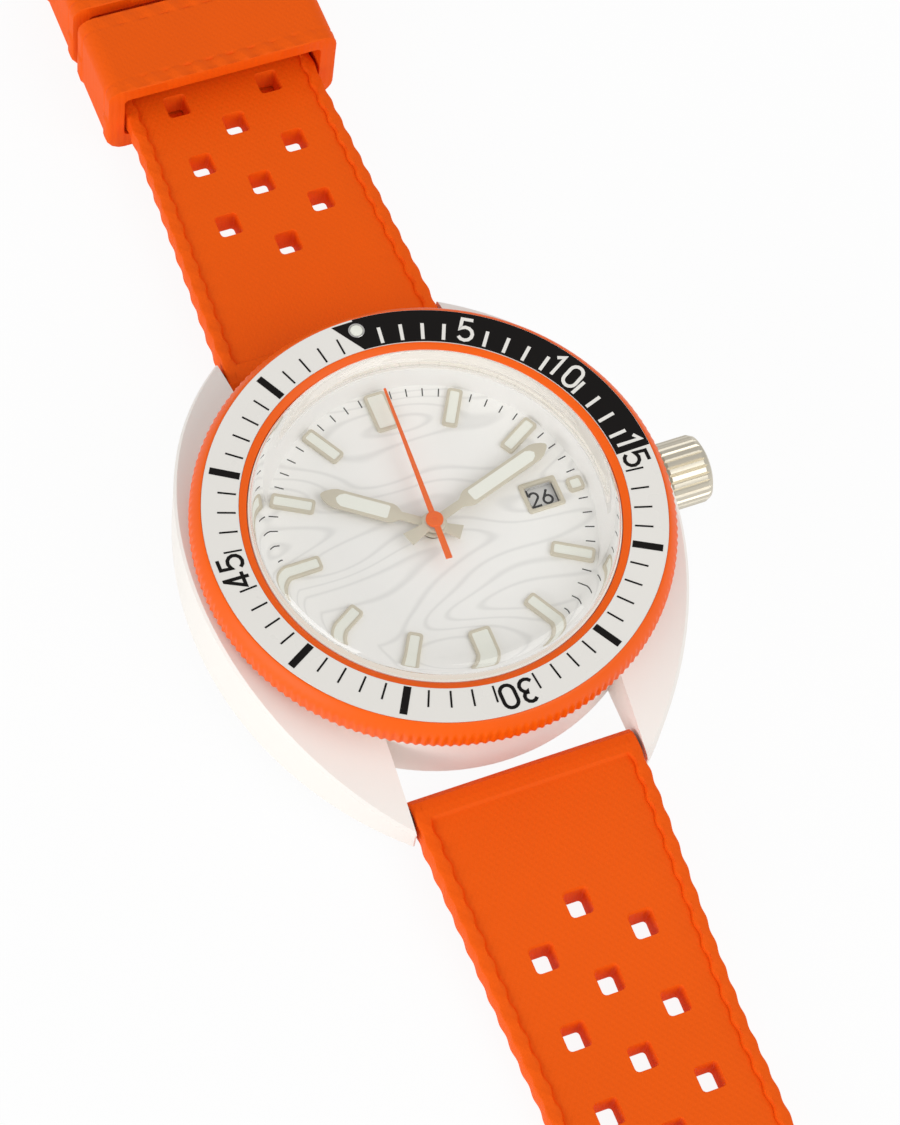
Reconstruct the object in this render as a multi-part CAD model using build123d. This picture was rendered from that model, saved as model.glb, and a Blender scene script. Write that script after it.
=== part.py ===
from build123d import *
import os
from math import asin, cos, degrees, pi, radians, sin, sqrt

# Dive watch with a rotating bezel, a quartz date movement and a perforated rubber strap.
# Millimetres. +X points to the crown (3 o'clock), +Y to 12 o'clock, +Z out of the dial.
# The origin is on the dial axis, in the plane of the case back's outer face.

# ---------------------------------------------------------------- driving dimensions
RUN = 0.05                 # radial clearance of a running fit
LUG_CLEARANCE = 0.25       # between a lug and the strap, on each side

# case
CASE_HALF_WIDTH = 20.45    # at 3 and 9 o'clock, without the crown
CASE_SIDE_R = 31.0         # plan radius of each case side
CASE_HALF_LENGTH = 23.0    # dial axis to lug tip
CASE_BOTTOM = 1.5
CASE_TOP = 8.9             # under the bezel
CASE_TOP_R = 53.5          # radius of the top face, seen from the crown side
LUG_GAP = 20.2             # between the lugs
BARREL_R = 18.5            # round part of the case between the lugs
NECK_R = 17.2              # the bezel turns on this neck
NECK_TOP = CASE_TOP + 1.6
BORE_R = 15.25
LEDGE_R = 14.3             # inner ledge that holds the dial and the crystal apart
LEDGE_BOTTOM = CASE_TOP + 0.15
LEDGE_TOP = CASE_TOP + 0.5

# case back
BACK_R = 16.6
BACK_FLOOR = 1.0
BACK_RIM_TOP = 3.2
BACK_RIM_WALL = 1.1
BACK_NOTCHES = 6
SEAL_INNER_R = BORE_R + 0.2
SEAL_OUTER_R = BACK_R - 0.55
SEAL_DEPTH = 0.45

# crystal
CRYSTAL_R = BORE_R - 0.15
CRYSTAL_TOP = CASE_TOP + 3.9
CRYSTAL_THICKNESS = 2.6
CRYSTAL_SHOULDER = NECK_TOP + RUN
CRYSTAL_SKIRT_R = 14.7
CRYSTAL_INNER_R = 13.6
CRYSTAL_EDGE_R = 1.1

# bezel
BEZEL_R = 19.95
BEZEL_BOTTOM = CASE_TOP + 0.13
BEZEL_GRIP_TOP = CASE_TOP + 1.6
BEZEL_LIP_R = CRYSTAL_R + 0.2
BEZEL_LIP_Z = CASE_TOP + 2.4
BEZEL_CEILING = NECK_TOP + 0.12
INSERT_INNER_R = 15.97
INSERT_OUTER_R = 18.98
INSERT_INNER_Z = CASE_TOP + 2.76
INSERT_OUTER_Z = CASE_TOP + 2.9
INSERT_THICKNESS = 0.45
PIP_R = 0.7
PIP_PLACE_R = 17.87
CLICKS = 120
CLICK_TOOTH_R = 18.7       # roots of the click teeth inside the bezel
CLICK_TOOTH_H = 0.25
CLICK_TOP = CASE_TOP + 0.7
WIRE_R = (NECK_R - 0.3, NECK_R + 0.4)   # snap wire that holds the bezel, inner and outer radius
WIRE_Z = (CASE_TOP + 1.05, CASE_TOP + 1.35)

# dial and hands
DIAL_TOP = 7.5
DIAL_THICKNESS = 0.4
DIAL_R = 14.9
FLANGE_INNER_R = 13.6
FLANGE_TOP_R = 14.2
MARKER_H = 0.35
MARKER_INNER_R = 9.75
MARKER_OUTER_R = 13.35
MARKER_W = 1.3
MARKER_W_WIDE = 1.9
LUME_MARGIN = 0.25
WINDOW_X = 9.7             # centre of the date window
WINDOW_W = 2.4
WINDOW_H = 1.95
WINDOW_FRAME = 0.42
HOUR_ANGLE = 306.0         # hands, clockwise from 12 o'clock
MINUTE_ANGLE = 72.0
SECOND_ANGLE = 3.0
HOUR_LENGTH = 9.55
MINUTE_LENGTH = 12.1
SECOND_LENGTH = 12.8
SECOND_TAIL = 3.7
HAND_T = 0.15
HOUR_Z = 8.15
MINUTE_Z = 8.6
SECOND_Z = 9.05

# movement
MOVEMENT_R = 12.8
PLATE_BOTTOM = 4.9
PLATE_TOP = 6.2
RIM_BOTTOM = 3.4
BRIDGE_Z = (3.42, 3.6)
SECOND_ARBOR_R = 0.14
CANNON_R = 0.45
HOUR_TUBE_R = 0.78
DATE_RING_INNER_R = 8.3
DATE_RING_OUTER_R = 11.6
DATE_RING_Z = (6.78, 6.95)
BATTERY_R = 3.4
BATTERY_H = 2.1
BATTERY_Y = -8.3

# crown and stem
STEM_Z = 4.6
STEM_R = 0.55
CROWN_R = 2.95
CROWN_X = (CASE_HALF_WIDTH + 0.5, CASE_HALF_WIDTH + 4.55)
CROWN_FLUTES = 28
CROWN_BORE_R = 2.0
TUBE_R = 1.35
TUBE_BORE_R = 0.8
TUBE_X = (BORE_R + 0.15, CASE_HALF_WIDTH + 2.85)
PULL = 2.0                 # travel of the crown when it is pulled out

# strap
BAR_Y = 21.3               # spring bar axis
BAR_Z = 2.9
BAR_R = 0.9
TIP_R = 0.4
TIP_TRAVEL = 1.3
STRAP_END_R = 1.45
STRAP_WIDTH = LUG_GAP - 2 * LUG_CLEARANCE
STRAP_NARROW = STRAP_WIDTH - 1.7   # at the buckle
TAPER_Y = (24.0, 46.0)     # where the width changes
STRAP_T = 2.4
SHORT_BOTTOM = 1.9         # underside of the short strap
SHORT_LENGTH = 75.0        # spring bar to buckle bar
LONG_LENGTH = 120.0        # spring bar to the tip
SETTLE_Y = (25.0, 45.0)    # where the long strap comes down to the table
HOLE_PITCH = 6.6
HOLE_FIRST_Y = 32.5
HOLE_COLUMN_X = 4.3
HOLE_W = 2.0
HOLE_L = 2.3
HOLE_CORNER = 0.5
SHORT_HOLE_ROWS = 3
TIP_MARGIN = 16.0          # end of the long strap without holes
LONG_HOLE_ROWS = int((BAR_Y + LONG_LENGTH - TIP_MARGIN - HOLE_FIRST_Y) / HOLE_PITCH)

# keepers
KEEPER_Y = (49.0, 58.5)    # front face of each keeper
KEEPER_LENGTH = 8.4
KEEPER_WALL = 1.6
KEEPER_ROOF = 1.4
KEEPER_SLACK = 0.2
KEEPER_TOP = SHORT_BOTTOM + 2 * STRAP_T + KEEPER_SLACK / 2 + KEEPER_ROOF

# buckle
BUCKLE_WIRE_R = 1.1
BUCKLE_BAR_R = 0.75
BUCKLE_REACH = 11.5        # hinge bar to front bar
BUCKLE_INNER = STRAP_NARROW + 0.8
TONGUE_W = 2.0
TONGUE_T = 0.9
TONGUE_SLOT_W = 3.0


# ---------------------------------------------------------------- small helpers
def cylinder_z(r, z0, z1, x=0.0, y=0.0):
    """Upright cylinder between two heights."""
    return Pos(x, y, (z0 + z1) / 2) * Cylinder(r, z1 - z0)


def tube_z(r_in, r_out, z0, z1, x=0.0, y=0.0):
    """Upright tube between two heights."""
    return cylinder_z(r_out, z0, z1, x, y) - cylinder_z(r_in, z0 - 1, z1 + 1, x, y)


def cylinder_x(r, x0, x1, y=0.0, z=0.0):
    """Cylinder along X."""
    return Pos((x0 + x1) / 2, y, z) * Rot(0, 90, 0) * Cylinder(r, x1 - x0)


def tube_x(r_in, r_out, x0, x1, y=0.0, z=0.0):
    """Tube along X."""
    return cylinder_x(r_out, x0, x1, y, z) - cylinder_x(r_in, x0 - 1, x1 + 1, y, z)


def block(x0, x1, y0, y1, z0, z1):
    """Box from its six faces."""
    return Pos((x0 + x1) / 2, (y0 + y1) / 2, (z0 + z1) / 2) * Box(x1 - x0, y1 - y0, z1 - z0)


def turned(points):
    """Solid of revolution about Z from (radius, height) points."""
    outline = make_face(Polyline([(r, 0, z) for r, z in points], close=True))
    return revolve(outline, Axis.Z, 360)


def plate(points, z0, z1):
    """Flat plate from plan points."""
    outline = make_face(Polyline([(x, y, z0) for x, y in points], close=True))
    return extrude(outline, z1 - z0, dir=(0, 0, 1))


def polar(r, angle):
    """Plan point at a radius and an angle in degrees."""
    return (r * cos(radians(angle)), r * sin(radians(angle)))


def gear(teeth, module, z0, z1, x=0.0, y=0.0, phase=0.0, bore=0.0):
    """Wheel with straight-sided teeth; phase in degrees puts a tooth on that angle."""
    pitch_r = teeth * module / 2
    root, tip = pitch_r - 1.1 * module, pitch_r + 0.7 * module
    step = 360 / teeth
    points = []
    for i in range(teeth):
        a = phase + i * step
        points += [polar(root, a - 0.30 * step), polar(tip, a - 0.10 * step),
                   polar(tip, a + 0.10 * step), polar(root, a + 0.30 * step)]
    wheel = plate(points, z0, z1)
    if bore:
        wheel -= cylinder_z(bore, z0 - 1, z1 + 1)
    return Pos(x, y, 0) * wheel


def mesh_phase(teeth_a, phase_a, teeth_b, angle):
    """Phase of wheel b whose gap meets a tooth of wheel a on the line of centres at angle."""
    step_a, step_b = 360 / teeth_a, 360 / teeth_b
    off = ((angle - phase_a) / step_a) % 1.0          # share of a tooth pitch past a tooth
    return angle + 180 + off * step_b + step_b / 2


def save(name, shape):
    """Writes one node."""
    solids = shape.solids()
    body = solids[0] if len(solids) == 1 else Compound(children=list(solids))
    body.label = name
    export_step(body, f"parts/{name}.step")
    print(f"{name}: {len(solids)} solid(s), {shape.volume:.2f} mm3")


# ---------------------------------------------------------------- gear train layout
ROTOR_TEETH, FIFTH_TEETH, FIFTH_PINION = 8, 48, 8
FOURTH_TEETH, FOURTH_PINION, THIRD_TEETH, THIRD_PINION, CENTRE_TEETH = 40, 8, 60, 8, 64
CANNON_TEETH, MINUTE_TEETH, MINUTE_PINION, HOUR_TEETH = 12, 36, 10, 40
SETTING_TEETH, DATE_WHEEL_TEETH = 20, 80
TRAIN_MODULE = 0.08
FOURTH_MODULE = 0.12
MOTION_MODULE = 0.125
MOTION_DISTANCE = (CANNON_TEETH + MINUTE_TEETH) * MOTION_MODULE / 2
HOUR_MODULE = 2 * MOTION_DISTANCE / (MINUTE_PINION + HOUR_TEETH)
THIRD_DISTANCE = (FOURTH_PINION + THIRD_TEETH) * TRAIN_MODULE / 2
CENTRE_MODULE = 2 * THIRD_DISTANCE / (THIRD_PINION + CENTRE_TEETH)
FIFTH_DISTANCE = (FIFTH_PINION + FOURTH_TEETH) * FOURTH_MODULE / 2
ROTOR_DISTANCE = (ROTOR_TEETH + FIFTH_TEETH) * TRAIN_MODULE / 2
SETTING_DISTANCE = (MINUTE_TEETH + SETTING_TEETH) * MOTION_MODULE / 2
DATE_DISTANCE = (HOUR_TEETH + DATE_WHEEL_TEETH) * HOUR_MODULE / 2
THIRD_ANGLE, FIFTH_ANGLE, ROTOR_ANGLE = 180, 60, 60
MINUTE_WHEEL_ANGLE, SETTING_ANGLE, DATE_ANGLE = 300, 25, 140
THIRD_AT = polar(THIRD_DISTANCE, THIRD_ANGLE)
FIFTH_AT = polar(FIFTH_DISTANCE, FIFTH_ANGLE)
ROTOR_AT = tuple(a + b for a, b in zip(FIFTH_AT, polar(ROTOR_DISTANCE, ROTOR_ANGLE)))
MINUTE_AT = polar(MOTION_DISTANCE, MINUTE_WHEEL_ANGLE)
SETTING_AT = tuple(a + b for a, b in zip(MINUTE_AT, polar(SETTING_DISTANCE, SETTING_ANGLE)))
DATE_AT = polar(DATE_DISTANCE, DATE_ANGLE)
PIVOT_R = 0.12
LEVER_AT = (8.6, 3.0)      # pivot of the setting lever
GROOVE_X = (8.2, 9.0)      # groove in the stem for the lever's pin
GROOVE_R = 0.3
PINION_X = (5.2, 6.8)      # sliding pinion
POCKET_X = 11.3            # end of the pocket for the lever, and of the stem's tunnel
COIL_Y = 8.4
SCREW_AT = (polar(11.3, 35), polar(11.3, 155), polar(11.3, 215), polar(11.3, 325))
SCREW_R = 0.5


# ---------------------------------------------------------------- case
def side_centre():
    """X of the centre of the arc that makes the +X case side."""
    return CASE_HALF_WIDTH - CASE_SIDE_R


def side_x(y):
    """Half-width of the case at y."""
    return sqrt(CASE_SIDE_R ** 2 - y ** 2) + side_centre()


def case_plan():
    """Plan outline of the case: two long arcs and two straight lug ends."""
    tip_x = side_x(CASE_HALF_LENGTH)
    right = ThreePointArc((tip_x, -CASE_HALF_LENGTH, 0), (CASE_HALF_WIDTH, 0, 0),
                          (tip_x, CASE_HALF_LENGTH, 0))
    left = ThreePointArc((-tip_x, CASE_HALF_LENGTH, 0), (-CASE_HALF_WIDTH, 0, 0),
                         (-tip_x, -CASE_HALF_LENGTH, 0))
    ends = [Line((tip_x, CASE_HALF_LENGTH, 0), (-tip_x, CASE_HALF_LENGTH, 0)),
            Line((-tip_x, -CASE_HALF_LENGTH, 0), (tip_x, -CASE_HALF_LENGTH, 0))]
    return make_face([right, ends[0], left, ends[1]])


def case_middle():
    """Case with lugs, bezel neck, bore, ledge and holes for the crown tube and spring bars."""
    body = Pos(0, 0, CASE_BOTTOM) * extrude(case_plan(), CASE_TOP - CASE_BOTTOM, dir=(0, 0, 1))
    crown_arc = Pos(0, 0, CASE_TOP - CASE_TOP_R) * Rot(0, 90, 0) * Cylinder(CASE_TOP_R, 60)
    body &= crown_arc
    gap = block(-LUG_GAP / 2, LUG_GAP / 2, -30, 30, 0, 20) - cylinder_z(BARREL_R, -1, 21)
    body -= gap
    body = chamfer_top_edges(body)
    body += cylinder_z(BARREL_R, CASE_BOTTOM, CASE_TOP)
    body += cylinder_z(NECK_R, CASE_TOP, NECK_TOP)
    body -= cylinder_z(BORE_R, 0, LEDGE_BOTTOM)
    body -= cylinder_z(LEDGE_R, 0, NECK_TOP + 1)
    body -= cylinder_z(BORE_R, LEDGE_TOP, NECK_TOP + 1)
    body -= tube_z(SEAL_INNER_R - RUN, SEAL_OUTER_R + RUN, CASE_BOTTOM, CASE_BOTTOM + SEAL_DEPTH + RUN)
    body -= tube_z(WIRE_R[0] - RUN, NECK_R + 1, WIRE_Z[0] - RUN, WIRE_Z[1] + RUN)
    body -= cylinder_x(TUBE_R, BORE_R - 1, CASE_HALF_WIDTH + 1, 0, STEM_Z)
    body -= cylinder_x(CROWN_R + 0.3, CASE_HALF_WIDTH - 0.2, CASE_HALF_WIDTH + 2, 0, STEM_Z)
    for side in (-1, 1):
        reach = LUG_GAP / 2 + TIP_TRAVEL
        body -= cylinder_x(TIP_R + RUN, -reach, reach, side * BAR_Y, BAR_Z)
    return body


def chamfer_top_edges(body):
    """Small bevel on the outer top edges of the case sides."""
    edges = [e for e in body.edges() if e.length > 30 and e.center().Z > CASE_BOTTOM + 1.0]
    return chamfer(edges, 0.25) if edges else body


def case_back():
    """Screw-in back: flat flange, threaded rim and six notches for the key."""
    rim_r = BORE_R - RUN
    back = turned([(0, 0), (BACK_R - 0.5, 0), (BACK_R, 0.5), (BACK_R, CASE_BOTTOM), (rim_r, CASE_BOTTOM),
                   (rim_r, BACK_RIM_TOP), (rim_r - BACK_RIM_WALL, BACK_RIM_TOP),
                   (rim_r - BACK_RIM_WALL, BACK_FLOOR), (0, BACK_FLOOR)])
    for i in range(BACK_NOTCHES):
        notch = block(BACK_R - 1.2, BACK_R + 1, -1.3, 1.3, -1, 0.7)
        back -= Rot(0, 0, i * 360 / BACK_NOTCHES + 30) * notch
    return back


def case_back_gasket():
    """Square ring in the groove under the case."""
    return tube_z(SEAL_INNER_R, SEAL_OUTER_R, CASE_BOTTOM, CASE_BOTTOM + SEAL_DEPTH)


# ---------------------------------------------------------------- crystal and flange
def crystal():
    """Box crystal with a slightly domed top and a rounded shoulder."""
    under = CRYSTAL_TOP - CRYSTAL_THICKNESS
    edge_z = CRYSTAL_TOP - 0.25
    outline = [
        ThreePointArc((0, 0, CRYSTAL_TOP), ((CRYSTAL_R - CRYSTAL_EDGE_R) / 2, 0, CRYSTAL_TOP - 0.06),
                      (CRYSTAL_R - CRYSTAL_EDGE_R, 0, edge_z)),
        ThreePointArc((CRYSTAL_R - CRYSTAL_EDGE_R, 0, edge_z),
                      (CRYSTAL_R - CRYSTAL_EDGE_R * (1 - sin(pi / 4)), 0,
                       edge_z - CRYSTAL_EDGE_R * (1 - cos(pi / 4))),
                      (CRYSTAL_R, 0, edge_z - CRYSTAL_EDGE_R)),
        Polyline([(CRYSTAL_R, 0, edge_z - CRYSTAL_EDGE_R), (CRYSTAL_R, 0, CRYSTAL_SHOULDER),
                  (CRYSTAL_SKIRT_R, 0, CRYSTAL_SHOULDER), (CRYSTAL_SKIRT_R, 0, LEDGE_TOP),
                  (LEDGE_R, 0, LEDGE_TOP), (CRYSTAL_INNER_R, 0, under), (0, 0, under),
                  (0, 0, CRYSTAL_TOP)])]
    return revolve(make_face(outline), Axis.Z, 360)


def crystal_gasket():
    """Nylon ring pressed between the crystal's skirt and the neck."""
    return tube_z(CRYSTAL_SKIRT_R, BORE_R, LEDGE_TOP, CRYSTAL_SHOULDER)


def flange():
    """White sloping ring between the dial and the crystal."""
    outer = BORE_R - RUN
    return turned([(FLANGE_INNER_R, DIAL_TOP), (outer, DIAL_TOP), (outer, LEDGE_BOTTOM),
                   (FLANGE_TOP_R, LEDGE_BOTTOM)])


# ---------------------------------------------------------------- bezel
def bezel_ring():
    """Grip ring with a recess for the insert, a click track and a groove for the snap wire."""
    bore = NECK_R + 0.1
    body = turned([(bore, BEZEL_BOTTOM), (BEZEL_R - 0.2, BEZEL_BOTTOM), (BEZEL_R, BEZEL_BOTTOM + 0.2),
                   (BEZEL_R, BEZEL_GRIP_TOP), (BEZEL_R - 0.17, BEZEL_GRIP_TOP + 0.5),
                   (BEZEL_R - 0.5, BEZEL_GRIP_TOP + 1.0), (INSERT_OUTER_R + 0.15, INSERT_OUTER_Z),
                   (INSERT_OUTER_R + 0.03, INSERT_OUTER_Z),
                   (INSERT_OUTER_R + 0.03, insert_z(INSERT_OUTER_R + 0.03) - INSERT_THICKNESS - 0.01),
                   (INSERT_INNER_R - 0.03, insert_z(INSERT_INNER_R - 0.03) - INSERT_THICKNESS - 0.01),
                   (INSERT_INNER_R - 0.03, INSERT_INNER_Z), (BEZEL_LIP_R, BEZEL_LIP_Z),
                   (BEZEL_LIP_R, BEZEL_CEILING), (bore, BEZEL_CEILING)])
    body -= tube_z(bore - 0.5, WIRE_R[1] + RUN, WIRE_Z[0] - RUN, WIRE_Z[1] + RUN)
    step = 360 / CLICKS
    track = []
    for i in range(CLICKS):
        track += [polar(CLICK_TOOTH_R - CLICK_TOOTH_H, i * step), polar(CLICK_TOOTH_R, i * step + 0.9 * step)]
    body -= plate(track, BEZEL_BOTTOM - 1, CLICK_TOP)
    return body


def bezel_insert():
    """Thin printed ring; its top face slopes a little towards the dial."""
    return turned([(INSERT_INNER_R, INSERT_INNER_Z - INSERT_THICKNESS),
                   (INSERT_OUTER_R, INSERT_OUTER_Z - INSERT_THICKNESS),
                   (INSERT_OUTER_R, INSERT_OUTER_Z), (INSERT_INNER_R, INSERT_INNER_Z)]) - pip_blank()


def insert_z(r):
    """Height of the insert's sloping face at a radius."""
    share = (r - INSERT_INNER_R) / (INSERT_OUTER_R - INSERT_INNER_R)
    return INSERT_INNER_Z + share * (INSERT_OUTER_Z - INSERT_INNER_Z)


def pip_blank():
    """The pip's cup, from the floor of the recess to just above the insert."""
    top = insert_z(PIP_PLACE_R)
    return cylinder_z(PIP_R, top - INSERT_THICKNESS + 0.04, top + 0.12, 0, PIP_PLACE_R)


def bezel_click_spring():
    """Flat leaf ring on the case with three fingers beside the click teeth."""
    r_in, r_out = NECK_R + 0.3, CLICK_TOOTH_R - CLICK_TOOTH_H - 0.12
    ring = tube_z(r_in, r_out, CASE_TOP, CASE_TOP + 0.2)
    for angle in (90, 210, 330):
        finger = block(r_in + 0.1, r_out, -0.5, 0.5, CASE_TOP + 0.1, CLICK_TOP - 0.1)
        ring += Rot(0, 0, angle) * finger
    return ring


def bezel_snap_wire():
    """Open wire ring that keeps the bezel on its neck."""
    ring = tube_z(WIRE_R[0], WIRE_R[1], WIRE_Z[0], WIRE_Z[1])
    return ring - block(-0.8, 0.8, -WIRE_R[1] - 1, 0, WIRE_Z[0] - 1, WIRE_Z[1] + 1)


# ---------------------------------------------------------------- dial
def window_box(grow, z0, z1):
    """Upright block over the date window, grown on each side."""
    return block(WINDOW_X - WINDOW_W / 2 - grow, WINDOW_X + WINDOW_W / 2 + grow,
                 -WINDOW_H / 2 - grow, WINDOW_H / 2 + grow, z0, z1)


def dial_plate():
    """Dial with the centre hole and the date window."""
    bottom = DIAL_TOP - DIAL_THICKNESS
    return (cylinder_z(DIAL_R, bottom, DIAL_TOP) - cylinder_z(HOUR_TUBE_R + 0.15, 0, 10)
            - window_box(0, 0, 10))


def marker_sizes():
    """Angle, inner radius, outer radius and width of each applied marker."""
    sizes = []
    for hour in range(12):
        angle = 90 - 30 * hour
        if hour == 3:
            sizes.append((angle, WINDOW_X + WINDOW_W / 2 + WINDOW_FRAME + 0.7, MARKER_OUTER_R, MARKER_W))
        elif hour in (0, 6):
            sizes.append((angle, MARKER_INNER_R, MARKER_OUTER_R, MARKER_W_WIDE))
        else:
            sizes.append((angle, MARKER_INNER_R, MARKER_OUTER_R, MARKER_W))
    return sizes


def hour_markers():
    """Twelve applied frames, open in the middle for the lume."""
    frames = []
    for angle, r0, r1, width in marker_sizes():
        m = LUME_MARGIN
        frame = block(r0, r1, -width / 2, width / 2, DIAL_TOP, DIAL_TOP + MARKER_H)
        frame -= block(r0 + m, r1 - m, m - width / 2, width / 2 - m, DIAL_TOP, DIAL_TOP + 1)
        frames.append(Rot(0, 0, angle) * frame)
    return Compound(children=frames)


def marker_lume():
    """Luminous filling of each marker."""
    fills = []
    for angle, r0, r1, width in marker_sizes():
        m = LUME_MARGIN
        fill = block(r0 + m, r1 - m, m - width / 2, width / 2 - m, DIAL_TOP, DIAL_TOP + MARKER_H - 0.05)
        fills.append(Rot(0, 0, angle) * fill)
    return Compound(children=fills)


def date_window_frame():
    """Applied frame around the date window."""
    return window_box(WINDOW_FRAME, DIAL_TOP, DIAL_TOP + 0.2) - window_box(0, DIAL_TOP - 1, DIAL_TOP + 1)


# ---------------------------------------------------------------- hands
def hand_outline(length, neck, body, neck_end, tip, tail, tail_w):
    """Sword hand along +Y: flared tail, narrow neck, wide body and a point."""
    return [(-tail_w / 2, -tail), (tail_w / 2, -tail), (neck / 2, -0.9), (neck / 2, neck_end),
            (body / 2, neck_end + 0.5), (body / 2, length - tip), (0, length), (-body / 2, length - tip),
            (-body / 2, neck_end + 0.5), (-neck / 2, neck_end), (-neck / 2, -0.9)]


def hour_hand():
    """Hour hand pressed on the hour wheel's tube."""
    blade = plate(hand_outline(HOUR_LENGTH, 0.7, 1.6, 3.0, 1.0, 2.4, 1.3), HOUR_Z, HOUR_Z + HAND_T)
    hub = cylinder_z(1.15, HOUR_Z - 0.1, HOUR_Z + HAND_T)
    blade = blade + hub - cylinder_z(HOUR_TUBE_R, 0, 20)
    return Rot(0, 0, -HOUR_ANGLE) * blade


def minute_hand():
    """Minute hand pressed on the cannon pinion."""
    blade = plate(hand_outline(MINUTE_LENGTH, 0.7, 1.5, 3.3, 1.0, 2.7, 1.3), MINUTE_Z, MINUTE_Z + HAND_T)
    hub = cylinder_z(0.95, MINUTE_Z - 0.1, MINUTE_Z + HAND_T)
    blade = blade + hub - cylinder_z(CANNON_R, 0, 20)
    return Rot(0, 0, -MINUTE_ANGLE) * blade


def seconds_hand():
    """Thin seconds hand with a round hub and a short counterweight."""
    blade = plate([(-0.28, -SECOND_TAIL), (0.28, -SECOND_TAIL), (0.2, 0), (0.08, SECOND_LENGTH),
                   (-0.08, SECOND_LENGTH), (-0.2, 0)], SECOND_Z, SECOND_Z + HAND_T)
    hub = cylinder_z(0.72, SECOND_Z - 0.05, SECOND_Z + HAND_T + 0.1)
    blade = blade + hub - cylinder_z(SECOND_ARBOR_R, 0, SECOND_Z + HAND_T - 0.02)
    return Rot(0, 0, -SECOND_ANGLE) * blade


# ---------------------------------------------------------------- movement: plates
def main_plate():
    """Base of the movement with a rim, bearings for the wheels and a tunnel for the stem."""
    body = cylinder_z(MOVEMENT_R, PLATE_BOTTOM, PLATE_TOP)
    body += tube_z(MOVEMENT_R - 0.5, MOVEMENT_R, RIM_BOTTOM, PLATE_BOTTOM)
    body += block(POCKET_X, 12.5, -1.5, 1.5, STEM_Z - 1.0, PLATE_BOTTOM)
    body += block(3.6, 4.3, -0.9, 0.9, STEM_Z - 0.8, PLATE_BOTTOM)
    for x, y in SCREW_AT:
        body += cylinder_z(SCREW_R + 0.6, BRIDGE_Z[1], PLATE_BOTTOM, x, y)
        body -= cylinder_z(SCREW_R * 0.6, 0, PLATE_TOP - 0.4, x, y)
    body -= block(4.3, POCKET_X, -1.3, 1.3, PLATE_BOTTOM - 1, PLATE_BOTTOM + 1.0)
    body -= block(7.2, POCKET_X, 1.2, 3.9, PLATE_BOTTOM - 1, PLATE_BOTTOM + 1.0)
    body -= cylinder_x(STEM_R + RUN, 4.3, MOVEMENT_R + 1, 0, STEM_Z)
    body -= cylinder_x(GROOVE_R + RUN, 3.0, 4.4, 0, STEM_Z)
    body -= cylinder_z(CANNON_R + RUN, 0, 10)
    for x, y in (THIRD_AT, FIFTH_AT, ROTOR_AT, MINUTE_AT, SETTING_AT, DATE_AT, LEVER_AT):
        body -= cylinder_z(PIVOT_R + RUN, 0, 10, x, y)
    return body


def train_bridge():
    """Plate under the wheels that carries their lower pivots."""
    a, b = BRIDGE_Z
    body = cylinder_z(MOVEMENT_R - 0.6, a, b)
    body -= cylinder_z(BATTERY_R + 0.15, 0, 10, 0, BATTERY_Y)
    body -= block(7.0, 10.4, -6.0, 6.0, 0, 10)
    for x, y in (THIRD_AT, FIFTH_AT, ROTOR_AT, (0, 0)):
        body -= cylinder_z(PIVOT_R + RUN, 0, 10, x, y)
    for x, y in SCREW_AT:
        body -= cylinder_z(SCREW_R * 0.6 + RUN, 0, 10, x, y)
    return body


def date_plate():
    """Thin ring that holds the date disc down, just under the dial."""
    z0, z1 = DATE_RING_Z[1] + 0.05, DIAL_TOP - DIAL_THICKNESS
    body = tube_z(1.2, MOVEMENT_R, z0, z1)
    body -= window_box(0.15, 0, 10)
    body += tube_z(DATE_RING_OUTER_R + 0.15, MOVEMENT_R, PLATE_TOP, z0)
    reach = (DATE_WHEEL_TEETH / 2 + 1) * HOUR_MODULE + 0.1
    return body - cylinder_z(reach, PLATE_TOP - 1, z0, *DATE_AT)


def movement_screws():
    """Four screws that hold the bridge to the main plate."""
    screws = []
    for x, y in SCREW_AT:
        screw = cylinder_z(SCREW_R, BRIDGE_Z[0] - 0.3, BRIDGE_Z[0], x, y)
        screw += cylinder_z(SCREW_R * 0.6, BRIDGE_Z[0], PLATE_BOTTOM + 0.5, x, y)
        screw -= block(x - SCREW_R, x + SCREW_R, y - 0.07, y + 0.07, BRIDGE_Z[0] - 0.4, BRIDGE_Z[0] - 0.18)
        screws.append(screw)
    return Compound(children=screws)


def movement_holder():
    """Plastic ring between the movement and the case, with a slot for the stem."""
    outer = BORE_R - RUN - 0.05
    inner_rim = outer - BACK_RIM_WALL - 0.1
    body = turned([(MOVEMENT_R + RUN, BACK_RIM_TOP + 0.1), (outer, BACK_RIM_TOP + 0.1),
                   (outer, DIAL_TOP - DIAL_THICKNESS), (MOVEMENT_R + RUN, DIAL_TOP - DIAL_THICKNESS)])
    body += turned([(MOVEMENT_R + RUN, BACK_FLOOR + 1.2), (inner_rim, BACK_FLOOR + 1.2),
                    (inner_rim, BACK_RIM_TOP + 0.1), (MOVEMENT_R + RUN, BACK_RIM_TOP + 0.1)])
    return body - cylinder_x(TUBE_R + 0.1, MOVEMENT_R - 1, BORE_R + 1, 0, STEM_Z)


# ---------------------------------------------------------------- movement: train
def centre_wheel():
    """Wheel that drives the cannon pinion through a friction bush, once an hour."""
    pinion_phase = mesh_phase(THIRD_TEETH, 0, FOURTH_PINION, THIRD_ANGLE + 180)
    phase = mesh_phase(THIRD_PINION, pinion_phase, CENTRE_TEETH, THIRD_ANGLE + 180)
    wheel = gear(CENTRE_TEETH, CENTRE_MODULE, 4.6, 4.75, 0, 0, phase, SECOND_ARBOR_R + RUN)
    return wheel + tube_z(SECOND_ARBOR_R + RUN, CANNON_R - 0.1, 4.75, 4.88)


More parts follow.
